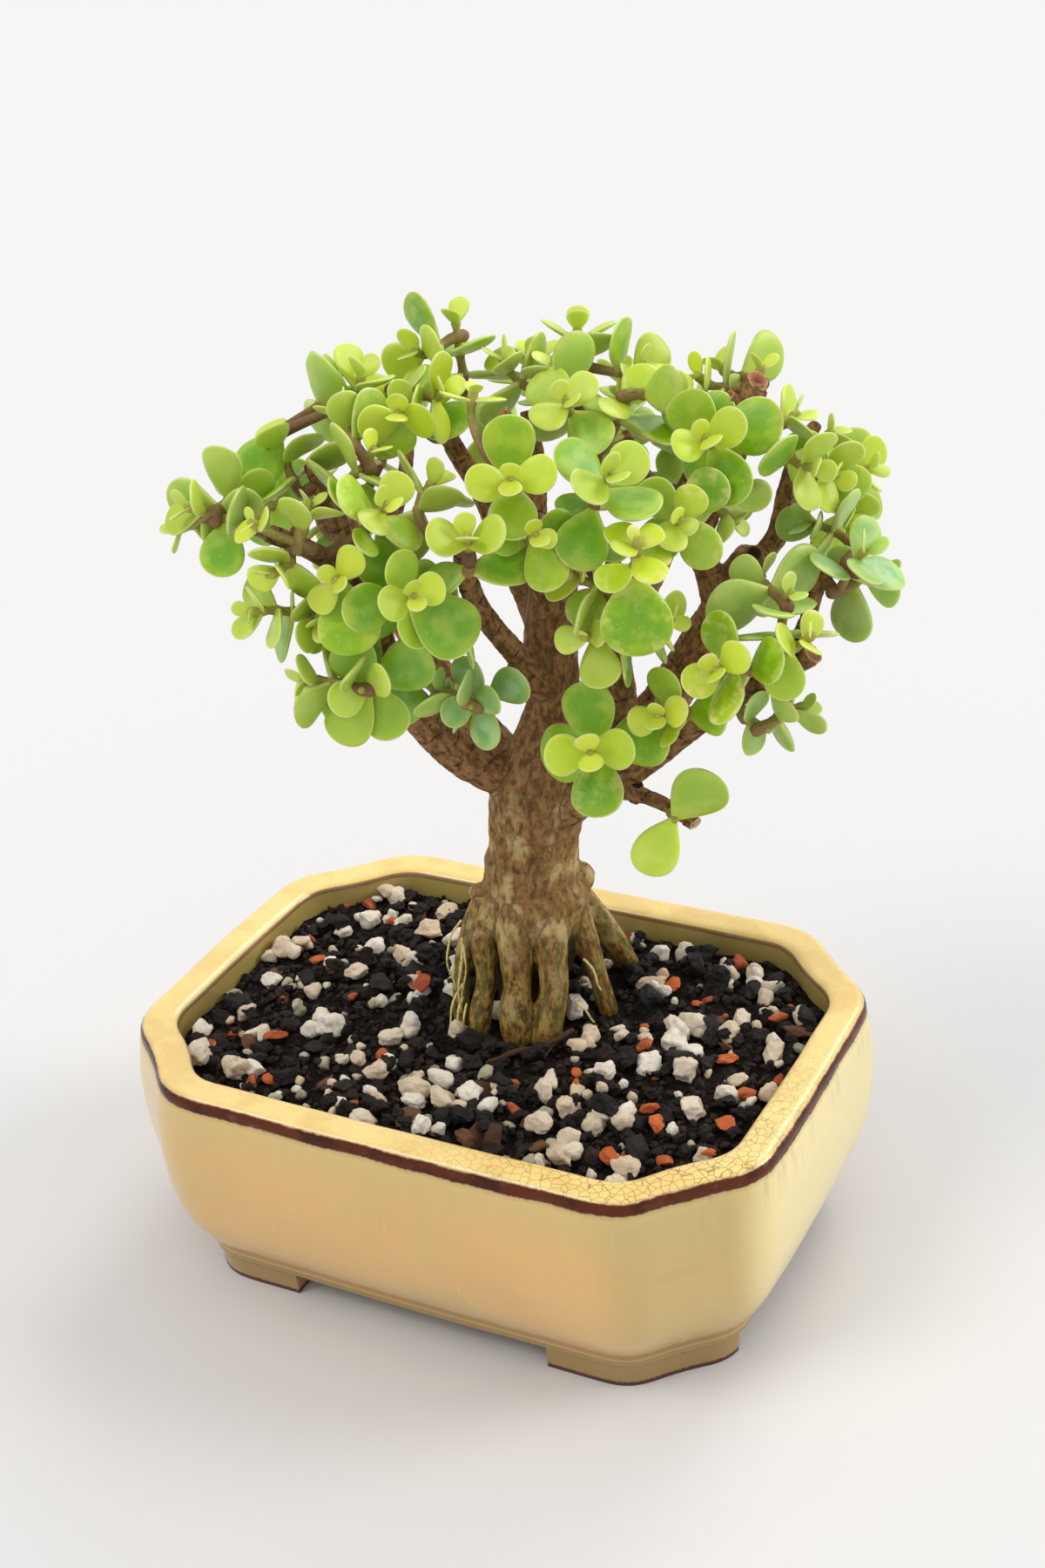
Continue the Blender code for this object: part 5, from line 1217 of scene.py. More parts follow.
def leafMaterial():
    material, tree, shader, read = startMaterial("jadeLeaf", {
        "Specular IOR Level": 0.5, "IOR": 1.45, "Subsurface Weight": 0.2, "Subsurface Scale": 0.0016,
        "Subsurface Radius": (0.7, 1.0, 0.25), "Coat Weight": 0.25, "Coat Roughness": 0.28,
    }, {
        "cloud": (5, 2, 0.5), "blotch": (2.94, 3, 0.6), "dust": (0.417, 1, 0.4),
        "dents": (2, 2, 0.5), "skin": (0.333, 2, 0.5), "sunned": (8.33, 2, 0.5),
    }, leafNumbers)
    c = leafColours
    tone = ageRamp(tree, read["age"], (
        (0.0, c["young"]), (0.3, c["middle"]), (0.7, c["old"]), (1.0, c["deep"])))
    blueTone = addCoats(tree, c["blueDeep"], ((read["cloud"], 0.35, 0.62, 1.0, c["bluePale"]),))
    outer = addNode(tree, "MapRange", {"Value": read["edge"], "From Min": 0.75, "From Max": 0.1,
                                       "To Min": 0.35})
    patch = addNode(tree, "Math", {0: read["gold"], 1: outer}, operation="MULTIPLY")
    red = addNode(tree, "MapRange", {"Value": read["sunned"], "From Min": 0.5, "From Max": 0.62,
                                     "To Max": read["age"]}, interpolation_type="SMOOTHSTEP")
    rim = addCoats(tree, c["edge"], ((red, 0.0, 1.0, 0.7, c["edgeRed"]),))
    tone = addCoats(tree, tone, (
        (read["cloud"], 0.45, 0.68, 0.4, c["middle"]), (read["blue"], 0.0, 1.0, 0.85, blueTone),
        (read["edge"], 0.7, 0.04, 0.28, c["middle"]), (read["along"], 0.4, 0.02, 0.5, c["young"]),
        (read["upper"], 0.6, 0.4, 0.45, c["underside"]), (read["blotch"], 0.48, 0.66, patch, c["gold"]),
        (read["dust"], 0.66, 0.78, 0.25, c["speck"])))
    bright = addNode(tree, "MapRange", {"Value": read["tint"], "To Min": 0.86, "To Max": 1.12})
    tone = addNode(tree, "HueSaturation", {"Color": tone, "Value": bright, "Saturation": 1.1})
    tone = addCoats(tree, tone, ((read["edge"], 0.085, 0.02, 0.6, rim),))
    gloss = addNode(tree, "MapRange", {"Value": read["dents"], "To Min": 0.36, "To Max": 0.52})
    tree.links.new(gloss, shader.inputs["Roughness"])
    return finishMaterial(material, tone, ((read["cloud"], 0.5, 0.35), (read["skin"], 0.05, 0.5)))


def stemMaterial():  # smooth young bark: green at the tip, brown below, with pale ridges at the joints
    material, tree, _, read = startMaterial("youngStem", {
        "Roughness": 0.55, "Specular IOR Level": 0.4,
    }, {"grain": (0.833, 3, 0.6)}, ("edge", "along"))
    tone = ageRamp(tree, read["edge"], (
        (0.0, "#B0B550"), (0.22, "#9F9446"), (0.5, "#8A6640"), (1.0, "#6E4C30")))
    tone = addCoats(tree, tone, (
        (read["grain"], 0.35, 0.7, 0.4, "#64442E"), (read["along"], 0.3, 0.05, 0.5, "#BD9562")))
    return finishMaterial(material, tone, ((read["grain"], 0.12, 0.7),))


jadeLeaf, youngStem = leafMaterial(), stemMaterial()
shoots, leaves = grow()
leafChance = random.Random(leafShape["seed"])
for shootName, shoot in shoots.items():
    addShoot(shootName, shoot, [leaf for leaf in leaves if leaf["name"] == shootName], leafChance)
print("shoots made,", len(leaves), "leaves")


# pot: glazed stoneware with dented, cut-off corners, on four bracket feet
pot = {
    "length": 152.0, "width": 112.0, "cornerCut": 22.0, "cornerDent": 1.2, "cornerRound": 9.0, "sideBow": 0.6,
    "arcSteps": 5,
    "sideSteps": (14, 3, 3, 14),  # between the middle of a side, the two ends and the dent of a cut corner
    "outside": (  # height and inset from the rim's outline
        (6.0, 8.6), (6.3, 8.0), (7.0, 7.6), (8.1, 7.5), (8.8, 7.9), (9.3, 7.9), (10.2, 6.8), (13.0, 4.7),
        (19.0, 1.6), (29.0, -0.7), (41.0, -1.3), (50.0, -0.5), (52.2, 0.15), (53.0, 0.1), (53.9, 0.25),
        (54.8, 0.7), (55.35, 1.5), (55.5, 2.4), (55.45, 4.6), (55.3, 6.6), (54.9, 7.7), (54.2, 8.35),
        (53.2, 8.5),
    ),
    "inside": ((47.0, 8.7), (40.0, 8.8), (32.0, 8.8), (18.0, 12.0), (12.0, 18.5)),
    "curveSteps": 3,
    "rimEdge": (54.8, 0.7),
    "footHeight": 8.0, "footInset": 8.6, "footLean": 0.6, "footWidth": 7.0, "gapHeight": 6.0,
    "gapLong": 62, "gapShort": 54, "footBevel": 0.7,
    "drainWide": 11, "drainApart": 60,
    "unevenness": (0.26, 24),  # mm deep and across, since a pressed wall is never quite flat
}


def potOutline(inset):  # the plan, moved in from the rim
    halfLong, halfWide = pot["length"] / 2 - inset, pot["width"] / 2 - inset
    cut = pot["cornerCut"] - (2 - math.sqrt(2)) * inset
    dent = Vector((1, 1)).normalized() * pot["cornerDent"]
    quarter = [Vector((halfLong + pot["sideBow"], 0)), Vector((halfLong, halfWide - cut)),
               Vector((halfLong - cut / 2, halfWide - cut / 2)) - dent, Vector((halfLong - cut, halfWide)),
               Vector((0, halfWide + pot["sideBow"]))]
    half = quarter + [Vector((-p.x, p.y)) for p in reversed(quarter[:-1])]
    corners = half + [Vector((-p.x, -p.y)) for p in half[1:-1]]
    arcs = []
    for index, corner in enumerate(corners):
        back, ahead = corners[index - 1] - corner, corners[(index + 1) % len(corners)] - corner
        rounded = min(pot["cornerRound"], 0.45 * back.length, 0.45 * ahead.length)
        reach = 0.3 * back.length if index % 4 == 0 else rounded
        start, end = corner + back.normalized() * reach, corner + ahead.normalized() * reach
        shares = [step / pot["arcSteps"] for step in range(pot["arcSteps"] + 1)]
        arcs.append([start * (1 - t) ** 2 + corner * 2 * t * (1 - t) + end * t * t for t in shares])
    outline = []
    for index, arc in enumerate(arcs):
        steps, landing = pot["sideSteps"][index % 4], arcs[(index + 1) % len(arcs)][0]
        outline += arc + [arc[-1].lerp(landing, step / steps) for step in range(1, steps)]
    return outline


def levelRing(height, inset):
    return np.array([(p.x, p.y, height) for p in potOutline(inset)])


def blockSkin(low, high):
    xs, ys, zs = zip(low, high)
    points = np.array([(x, y, z) for z in zs for y in ys for x in xs], float)
    return points, [(0, 2, 3, 1), (4, 5, 7, 6), (0, 1, 5, 4), (1, 3, 7, 5), (3, 2, 6, 7), (2, 0, 4, 6)]


def drumSkin(x, low, high, radius, sides=40):
    angles = np.arange(sides) * 2 * math.pi / sides
    ring = np.column_stack([x + np.cos(angles) * radius, np.sin(angles) * radius])
    return loftSkin([np.column_stack([ring, np.full(sides, z)]) for z in (low, high)])


def cutFrom(skin, cutters, finish=()):  # a mesh in the pot's mm, with other shapes cut out of it
    body, tools = meshOf("body", *skin, None, False), meshOf("tools", *joinSkins(cutters), None, False)
    holder = sceneObject("cutting", tools)
    cut = ("BOOLEAN", {"object": holder, "operation": "DIFFERENCE", "solver": "EXACT", "use_self": True})
    shaped = shapedBy(body, (cut, *finish))
    bpy.data.objects.remove(holder)
    return vectorsOf(shaped.vertices, "co"), [tuple(face.vertices) for face in shaped.polygons]


def addPot():
    profile = smoothCurve(pot["outside"] + pot["inside"], lambda start, end: pot["curveSteps"])
    lengths = lengthsAlong(profile)
    edge = lengths[np.linalg.norm(profile - np.array(pot["rimEdge"]), axis=1).argmin()]
    wall = loftSkin([levelRing(*row) for row in profile])
    down = np.repeat(edge - lengths, len(wall[0]) // len(profile))
    drains = [drumSkin(side * pot["drainApart"] / 2, 0, 20, pot["drainWide"] / 2) for side in (-1, 1)]
    body = cutFrom(wall, drains)
    high, outer = pot["footHeight"], pot["footInset"] + pot["footLean"]
    inner = outer + pot["footWidth"]
    ring = loftSkin([levelRing(*row) for row in (
        (0, outer), (high, pot["footInset"]), (high, inner), (0, inner))], closed=False)
    far, long, short = pot["length"], pot["gapLong"] / 2, pot["gapShort"] / 2
    gaps = [blockSkin((-x, -y, -1), (x, y, pot["gapHeight"])) for x, y in ((long, far), (far, short))]
    bevel = {"width": pot["footBevel"], "segments": 3, "limit_method": "ANGLE", "angle_limit": 0.9}
    feet = cutFrom(ring, gaps, (("BEVEL", bevel),))
    points, faces = joinSkins([body, feet])
    tree = KDTree(len(wall[0]))
    for index, point in enumerate(wall[0]):
        tree.insert(point, index)
    tree.balance()
    downs = [down[tree.find(point)[1]] for point in body[0]] + [60.0] * len(feet[0])
    mesh = meshOf("glazedPot", placed(points, potPlaceMm), faces, potGlaze)
    deep, wide = pot["unevenness"]
    pushOut(mesh, deep * roughness(points, wide, 2, 5))
    mesh.set_sharp_from_angle(angle=math.radians(50))
    keepNumbers(mesh, "glazeDown", downs)
    addPiece("glazedPot", mesh, "glazed_stoneware", "pot")


# stoneware with a thick honey glaze, glossy and pooled: it is pale where thick, breaks to dark red brown over
# the outer edge of the rim, where it runs thin, and is crazed with fine lines on the rim
glaze = {
    # EFDE9E is a pale glaze, and also painted light on the walls' right and left ends
    "wall": "#E0B573", "wallGreen": "#D0B673", "wallPaleAndLit": "#EFDE9E", "wallDeep": "#CC9F61",
    "wallOlive": "#C0AE6C", "shade": "#C49A5C", "rim": "#FCDD8C", "rimDeep": "#EFCB7C", "craze": "#866732",
    "band": "#5E2A16", "bandDeep": "#3C1A0E", "bandBloom": "#7E6660", "bandFeather": "#A08A66",
    "inside": "#B49F5C", "foot": "#A1834E", "bareClay": "#55291F", "line": "#6B5132",
    "pinhole": "#5B442C", "blotch": "#CDA861",
    "bandMiddle": 1.45,  # mm down from the rim's outer edge
    "bandHalf": 1.45,
    "crazeSize": 1.9,  # mm between the craze lines
    "pinholeGap": 21,  # mm
    "blotchAt": (61, -46, 36),  # mm from the middle of the pot's underside
    "blotchReach": (6.25, 6.25, 1.82),  # mm each way from its middle
    "dripAt": (61.5, -50, 50.2),
    "dripReach": (0.455, 0.455, 2.78),
    "crazeAt": (58, -42, 55),
    "crazeReach": 62,  # mm
}


def glazeMaterial():
    material, tree, shader, read = startMaterial("honeyGlaze", {"IOR": 1.52, "Coat Roughness": 0.1}, {
        "cloud": (33.3, 3, 0.5), "greenish": (22.2, 2, 0.5),
        "runs": ((2, 2, 16.7), 3, 0.5), "speckle": (0.385, 2, 0.6),
        "warp": (1.25, 2, 0.5), "waves": (9.09, 2, 0.4), "ragged": (1.11, 3, 0.6),
        "bloom": ((4, 4, 2), 3, 0.55), "pool": (8.33, 3, 0.5),
        "ripple": (7.14, 2, 0.5), "streaks": ((2.38, 2.38, 33.3), 2, 0.5),
    }, ("glazeDown",))
    g, down, height = glaze, read["glazeDown"], read["height"]
    middle = tuple(part / mm for part in potPlace)
    fromPot = addNode(tree, "VectorMath", {0: read["place"], 1: middle}, operation="SUBTRACT")
    right = addNode(tree, "SeparateXYZ", {0: fromPot}, "X")
    # walls: greener below the rim, deeper low down, where the glaze has run thin, and paler at the right and
    # left ends, partly a paler glaze and partly painted light from the lamps at the sides
    wall = addCoats(tree, g["wall"], (
        (read["cloud"], 0.45, 0.72, 0.3, g["wallDeep"]), (down, 17, 3, 0.75, g["wallGreen"]),
        (read["greenish"], 0.5, 0.66, 0.5, g["wallGreen"]), (right, 44, 60, 0.6, g["wallOlive"]),
        # partly painted light: the right and left ends are paler, where the side lamps fall
        (right, 70, 78, 0.9, g["wallPaleAndLit"]), (right, -62, -78, 0.5, g["wallPaleAndLit"]),
        (height, 22, 9, 0.3, g["wallDeep"]),
        (read["runs"], 0.5, 0.8, 0.07, g["wallPaleAndLit"]), (read["speckle"], 0.55, 0.75, 0.14, g["shade"])))
    # a line of shade in the hollow over the feet, then the feet, bare at the very bottom
    hollowShade = addNode(tree, "Math", {0: height, 1: 9.2, 2: 0.9}, operation="COMPARE")
    bare = addNode(tree, "Math", {0: read["speckle"], 1: 1.6, 2: 0.3}, operation="MULTIPLY_ADD")
    bare = addNode(tree, "Math", {0: height, 1: bare}, operation="LESS_THAN")
    wall = addCoats(tree, wall, (
        (hollowShade, 0.0, 1.0, 0.45, g["line"]), (height, 8.4, 7.9, 1.0, g["foot"]),
        (bare, 0.0, 1.0, 1.0, g["bareClay"])))
    # rim: warm yellow, crazed most at one corner
    bent = addNode(tree, "MixRGB", {0: 0.15, 1: read["place"], 2: read["warp"]}, blend_type="ADD")
    cells = addNode(tree, "TexVoronoi", {"Vector": bent, "Scale": 1 / g["crazeSize"]}, "Distance",
                    feature="DISTANCE_TO_EDGE")
    corner = addNode(tree, "VectorMath", {0: fromPot, 1: g["crazeAt"]}, "Value", operation="DISTANCE")
    crazed = addNode(tree, "MapRange", {"Value": corner, "From Min": g["crazeReach"], "From Max": 12.0,
                                        "To Min": 0.05, "To Max": 0.75})
    rim = addCoats(tree, g["rim"], (
        (read["pool"], 0.42, 0.65, 0.8, g["rimDeep"]), (read["speckle"], 0.5, 0.7, 0.2, g["shade"]),
        (cells, 0.06, 0.015, crazed, g["craze"])))
    # the dark band, feathered with a grey bloom, with one thin drip, and grey streaks at the right
    ragged = addNode(tree, "Math", {0: read["ragged"], 1: 0.7, 2: down}, operation="MULTIPLY_ADD")
    placeInBand = addNode(tree, "Math", {0: read["waves"], 1: 1.1, 2: ragged}, operation="MULTIPLY_ADD")
    placeInBand = addNode(tree, "Math", {0: placeInBand, 1: 0.9 + g["bandMiddle"]}, operation="SUBTRACT")
    away = addNode(tree, "Math", {0: placeInBand}, operation="ABSOLUTE")
    streaked = addNode(tree, "MapRange", {"Value": down, "From Min": 12.0, "From Max": 2.5, "To Max": 0.25})
    atRight = addNode(tree, "Math", {0: right, 1: 66.0}, operation="GREATER_THAN")
    streaked = addNode(tree, "Math", {0: streaked, 1: atRight}, operation="MULTIPLY")
    spots = {}
    for spot in ("drip", "blotch"):  # an upright and a level oval, 1 at the edge
        gap = addNode(tree, "VectorMath", {0: fromPot, 1: g[spot + "At"]}, operation="SUBTRACT")
        gap = addNode(tree, "VectorMath", {0: gap, 1: g[spot + "Reach"]}, operation="DIVIDE")
        spots[spot] = addNode(tree, "VectorMath", {0: gap}, "Value", operation="LENGTH")
    band = addCoats(tree, g["band"], (
        (read["pool"], 0.42, 0.62, 0.8, g["bandDeep"]), (read["bloom"], 0.56, 0.76, 0.3, g["bandBloom"])))
    dots = addNode(tree, "TexVoronoi", {"Vector": read["place"], "Scale": 1 / g["pinholeGap"]}, "Distance")
    half = g["bandHalf"]
    tone = addCoats(tree, wall, (
        (read["streaks"], 0.54, 0.66, streaked, g["bandBloom"]), (down, 0.3, -0.3, 1.0, rim),
        (spots["blotch"], 1.1, 0.85, 0.45, g["blotch"]), (away, half + 1.2, half, 0.35, g["bandFeather"]),
        (spots["drip"], 1.1, 0.7, 0.8, g["band"]), (away, half + 0.2, half - 0.3, 1.0, band),
        (down, -7.7, -8.1, 0.8, g["band"]), (down, -8.8, -9.3, 1.0, g["inside"]),
        (dots, 0.024, 0.014, 0.8, g["pinhole"])))
    gloss = addNode(tree, "MapRange", {"Value": read["runs"], "To Min": 0.16, "To Max": 0.32})
    gloss = addNode(tree, "Mix", {0: bare, 2: gloss, 3: 0.85})
    tree.links.new(gloss, shader.inputs["Roughness"])
    # the band's glaze is thin, so that it mirrors less and stays dark
    for socket, most, least in (("Specular IOR Level", 0.5, 0.12), ("Coat Weight", 0.3, 0.06)):
        sheen = addNode(tree, "MapRange", {"Value": away, "From Min": half - 0.2, "From Max": half + 0.2,
                                           "To Min": least, "To Max": most})
        tree.links.new(sheen, shader.inputs[socket])
    return finishMaterial(material, tone, (
        (read["ripple"], 0.5, 0.5), (read["speckle"], 0.06, 0.35), (cells, 0.05, 0.2)))


def meshMaterial():  # moulded plastic mesh: black, matt, with a fine ripple from the mould
    material, tree, _, read = startMaterial("mouldedPlastic", {
        "Roughness": 0.55, "Specular IOR Level": 0.4,
    }, {"ripple": (0.714, 2, 0.5)})
    tone = addCoats(tree, "#141414", ((read["ripple"], 0.4, 0.7, 1.0, "#242321"),))
    return finishMaterial(material, tone, ((read["ripple"], 0.06, 0.6),))


potGlaze = glazeMaterial()
addPot()
blackMesh = meshMaterial()
for meshName in ("drain_mesh_left", "drain_mesh_right"):
    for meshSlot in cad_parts[meshName].material_slots:
        meshSlot.material = blackMesh
print("pot made")


# cut ends: where a branch was pruned, a dry collar of bark stands round a shrunken core
cutEnds = {
    "sides": 18,
    # radius over the stub's and rise past its length in mm, then how far in from the bark, 0 to 1
    "profile": (
        (1.1, None, 0.0), (1.04, -0.55, 0.0), (1.03, -0.15, 0.0), (0.95, 0.08, 0.1), (0.86, 0.06, 0.3),
        (0.72, -0.02, 0.5), (0.5, -0.12, 0.7), (0.27, -0.16, 0.88), (0.07, -0.1, 1.0),
    ),
    "sunk": 1.6,  # mm, into the wood
    "split": 0.28,  # mm, how rough the end grain is
    "grainTones": (  # fresh and old end grain, from the bark in to the pith
        ((0.1, "#D9B083"), (0.35, "#C88A5A"), (0.7, "#A4623C"), (1.0, "#6A3622")),
        ((0.1, "#B58F63"), (0.3, "#6E4528"), (0.6, "#2E1B11"), (1.0, "#150C08")),
    ),
    # limb, its route, how far along it, which way the stub points (None: on along the limb), its length and
    # radius in mm, and how old the cut is: 0 pale, 0.3 fresh red, 1 hollow and dark
    "rows": (
        ("limb_top_front", 0, 1.0, (-0.1, -0.55, 0.8), 0.6, 2.6, 1.0),
        ("limb_top_front", 0, 0.96, (-0.5, 0.05, 0.85), 5.2, 1.6, 0.2),
        ("limb_top_front", 0, 0.88, (0.1, -1, 0.15), 3.8, 1.35, 0.25),
        ("limb_right", 1, 1.0, (0.4, -0.3, 0.85), 1.4, 2.3, 0.35),
        ("limb_right", 1, 0.9, (-0.7, -0.1, 0.75), 5.5, 1.5, 0.3),
        ("limb_right", 0, 1.0, (0.1, -0.75, 0.6), 2.4, 1.7, 0.7),
        ("limb_front_left", 0, 1.0, None, 1.0, 1.8, 0.6),
        ("limb_low_left", 1, 1.0, None, 1.0, 1.6, 0.4),
        ("limb_low_left", 1, 0.5, (-0.2, -0.95, -0.2), 3.2, 1.6, 0.9),
        ("limb_back_right", 0, 0.8, (-0.5, -0.85, 0.2), 3.8, 1.5, 0.8),
        ("limb_back_right", 0, 0.92, (0.3, -0.9, 0.3), 3.2, 1.3, 0.3),
        ("limb_right_back", 0, 1.0, None, 1.2, 1.7, 0.5),
        ("limb_lower_right", 0, 1.0, None, 0.8, 2.2, 0.55),
        ("limb_lower_right", 2, 1.0, None, 0.6, 1.4, 0.0),
        ("limb_lower_right", 2, 0.5, (0.1, -0.35, 0.95), 2.9, 1.45, 1.0),
        ("limb_lower_right", 1, 0.48, (0, -0.8, 0.6), 2.6, 1.2, 1.0),
        ("limb_back_left", 0, 0.75, (-0.6, 0.6, 0.5), 4.0, 1.5, 0.7),
        ("limb_back", 0, 1.0, None, 1.0, 1.6, 0.4),
        ("limb_top_right", 0, 0.5, (0.6, 0.75, 0.2), 3.6, 1.3, 0.8),
        ("limb_right", 0, 0.6, (0.1, 0.9, 0.4), 6.6, 1.9, 0.9),
    ),
}


def stubSkin(seat, heading, length, radius, chance):
    side = np.array(across(Vector((0.3, 1, 0.2)), Vector(heading)))
    side = side / np.linalg.norm(side)
    up = np.cross(heading, side)
    angles = np.arange(cutEnds["sides"]) * 2 * math.pi / cutEnds["sides"]
    phase, tilt = chance.uniform(0, 6.28), chance.uniform(0.1, 0.35) * radius
    uneven = 1 + 0.07 * np.sin(2 * angles + phase) + 0.06 * np.sin(5 * angles + 2 * phase)
    rings, inward = [], []
    for share, rise, within in cutEnds["profile"]:
        wide = radius * share * (1 + (uneven - 1) * (1 - within))
        high = np.full(len(angles), -cutEnds["sunk"])
        if rise is not None:
            high = length + rise * radius * 0.6 + tilt * share * np.cos(angles - phase)
        rings.append(seat + np.outer(wide * np.cos(angles), side) + np.outer(wide * np.sin(angles), up)
                     + np.outer(high, heading))
        inward += [within] * len(angles)
    return *loftSkin(rings), inward


def cutMaterial():  # end grain: a pale ring of young wood, fibres that split as they dry, and a dark pith
    material, tree, _, read = startMaterial("cutWood", {"Roughness": 0.75, "Specular IOR Level": 0.3}, {
        "grain": ((0.526, 0.526, 1.11), 3, 0.6), "fibres": (0.3125, 3, 0.65),
    }, ("inward", "cutAge"))
    fresh, old = (ageRamp(tree, read["inward"], stops) for stops in cutEnds["grainTones"])
    face = addCoats(tree, fresh, (
        (read["cutAge"], 0.3, 0.8, 1.0, old), (read["fibres"], 0.52, 0.64, 0.6, "#3A2114"),
        (read["cutAge"], 0.1, 0.0, 0.7, "#D8C79A")))
    tone = addCoats(tree, barkColours["limbDeep"], (
        (read["grain"], 0.36, 0.62, 1.0, barkColours["limbPale"]), (read["inward"], 0.02, 0.1, 1.0, face)))
    return finishMaterial(material, tone, ((read["grain"], 0.25, 0.7), (read["fibres"], 0.4, 1.0)))


def addCuts():
    skins, inward, ages, chance = [], [], [], random.Random(5)
    for limb, number, share, pointing, length, radius, age in cutEnds["rows"]:
        run = smoothRun(routeOf(limbRoutes[limb][number]), woodSkin["spacing"])
        at = round(share * (len(run) - 1))
        ahead = run[min(at + 1, len(run) - 1), :3] - run[max(at - 1, 0), :3]
        heading = np.array(pointing or tuple(ahead), float)
        heading /= np.linalg.norm(heading)
        points, faces, within = stubSkin(run[at, :3], heading, length, radius, chance)
        skins.append((points, faces))
        inward += within
        ages += [age] * len(points)
    points, faces = joinSkins(skins)
    points[:, 2] += cutEnds["split"] * roughness(points, 0.9, 2, 7) * np.array(inward)
    mesh = meshOf("cutEnds", placed(points, treePlace), faces, cutMaterial())
    keepNumbers(mesh, "inward", inward)
    keepNumbers(mesh, "cutAge", ages)
    addPiece("cutEnds", mesh, "bark", "trunk")


# thin pale roots that have come out in the air, on their way down to the mix
rootlets = {
    "thickness": (0.26, 0.42),  # mm
    "thinning": 0.16,  # from one point to the next
    "sway": 0.3,  # mm
    "colours": ("#DCD08A", "#BBA35C"),
    "rows": (
        ((-15.5, -4.0, 75), (-18.5, -6.0, 72), (-19.0, -7.5, 66), (-18.2, -8.0, 60)),
        ((-15.6, -5.0, 71), (-16.4, -7.0, 66), (-17.0, -8.4, 60), (-17.2, -9.0, 54)),
        ((-15.0, -5.6, 70), (-15.6, -7.6, 64), (-16.4, -8.4, 58)),
        ((-16.4, -6.5, 60), (-18.4, -8.6, 57), (-19.8, -10.2, 53), (-20.4, -11.0, 49)),
        ((-16.6, -7.0, 57), (-17.6, -9.6, 54), (-18.6, -11.2, 50), (-18.9, -11.8, 48)),
        ((-15.9, -8.4, 56), (-16.4, -10.8, 53), (-17.2, -12.2, 49)),
        ((11.0, -9.0, 66), (13.4, -9.8, 62), (14.6, -9.6, 58)),
        ((8.4, -14.0, 58), (11.0, -14.8, 56), (12.6, -14.4, 53)),
    ),
}


def rootletMaterial():  # young root skin: waxy and pale yellow
    material, tree, _, read = startMaterial("youngRoot", {
        "Roughness": 0.5, "Subsurface Weight": 0.15, "Subsurface Scale": 0.0006,
    }, {"grain": (0.769, 3, 0.6)})
    tone = addCoats(tree, rootlets["colours"][0], ((read["grain"], 0.45, 0.65, 1.0, rootlets["colours"][1]),))
    return finishMaterial(material, tone, ((read["grain"], 0.1, 0.6),))


def addRootlets():
    chance, skins = random.Random(3), []
    for row in rootlets["rows"]:
        thick, thinner = chance.uniform(*rootlets["thickness"]), rootlets["thinning"]
        run = smoothRun([(spot, thick * (1 - thinner * step)) for step, spot in enumerate(row)], 0.6)
        phase, pace = chance.uniform(0, 6.28), chance.uniform(0.4, 0.9)
        turn = run[:, 2] * pace + phase
        run[:, :2] += rootlets["sway"] * np.column_stack([np.sin(turn), np.cos(turn + phase)])
        skins.append(tubeSkin(run, 8, 0.6, 0.8))
    points, faces = joinSkins(skins)
    mesh = meshOf("rootlets", placed(points, treePlace), faces, rootletMaterial())
    addPiece("rootlets", mesh, "bark", "trunk")


addCuts()
addRootlets()
print("cut ends and rootlets made")


# potting mix: a dark bed of fines with bark, charcoal, pumice and fired clay lying on it
mix = {
    "height": 48.6, "mound": 1.2, "edge": 8.9,  # mm
    "bedStep": 1.3, "bedLumps": 0.9,
    "cell": 1.0,  # mm, of the height map that the grains are laid on
    "bedFloor": 32,  # mm, where the bed rests in the pot
    "seed": 31,
    "tries": 30,  # for a grain to find a place
    "reach": 0.45,  # of a grain's size, round its middle, over which it rests on what lies below
    "fromWood": 0.2,  # of its size, kept between a grain's middle and the roots
    "rootTop": 66,  # mm, the highest that wood is looked for
    "smallMore": 1.6,  # over 1 where small grains are more usual than large ones
    "facets": 11,  # flat faces that a grain is broken to
    # kind, count, smallest and largest across in mm, how far it sinks as a share, flatness, roundness, depth
    # and fineness of its lumps, and the highest over the bed that it lands
    "kinds": (
        ("charcoal", 360, 2.4, 6.4, 0.35, 0.8, 0.3, (0.36, 1.7), 2.6),
        ("barkFlake", 30, 4.0, 7.5, 0.25, 0.35, 0.15, (0.2, 1.3), 2.2),
        ("pumice", 205, 2.3, 6.6, 0.26, 0.85, 0.7, (0.26, 1.25), 2.8),
        ("charredChip", 110, 3.0, 7.0, 0.2, 0.7, 0.2, (0.34, 1.7), 3.2),
        ("firedClay", 52, 1.8, 5.2, 0.15, 0.5, 0.3, (0.2, 1.3), 2.6),
        ("greyGrit", 60, 1.8, 4.0, 0.3, 0.8, 0.6, (0.2, 1.3), 2.0),
        ("crumb", 1700, 0.8, 2.3, 0.3, 0.85, 0.3, (0.34, 1.6), 1.1),
    ),
}


def insideOutline(outline, spots):  # whether each spot lies within a closed plan
    x, y = spots[:, 0:1], spots[:, 1:2]
    x1, y1 = outline[:, 0], outline[:, 1]
    x2, y2 = np.roll(x1, -1), np.roll(y1, -1)
    crosses = (y1 > y) != (y2 > y)
    where = (x2 - x1) * (y - y1) / np.where(y2 == y1, 1e-9, y2 - y1) + x1
    return (crosses & (x < where)).sum(1) % 2 == 1


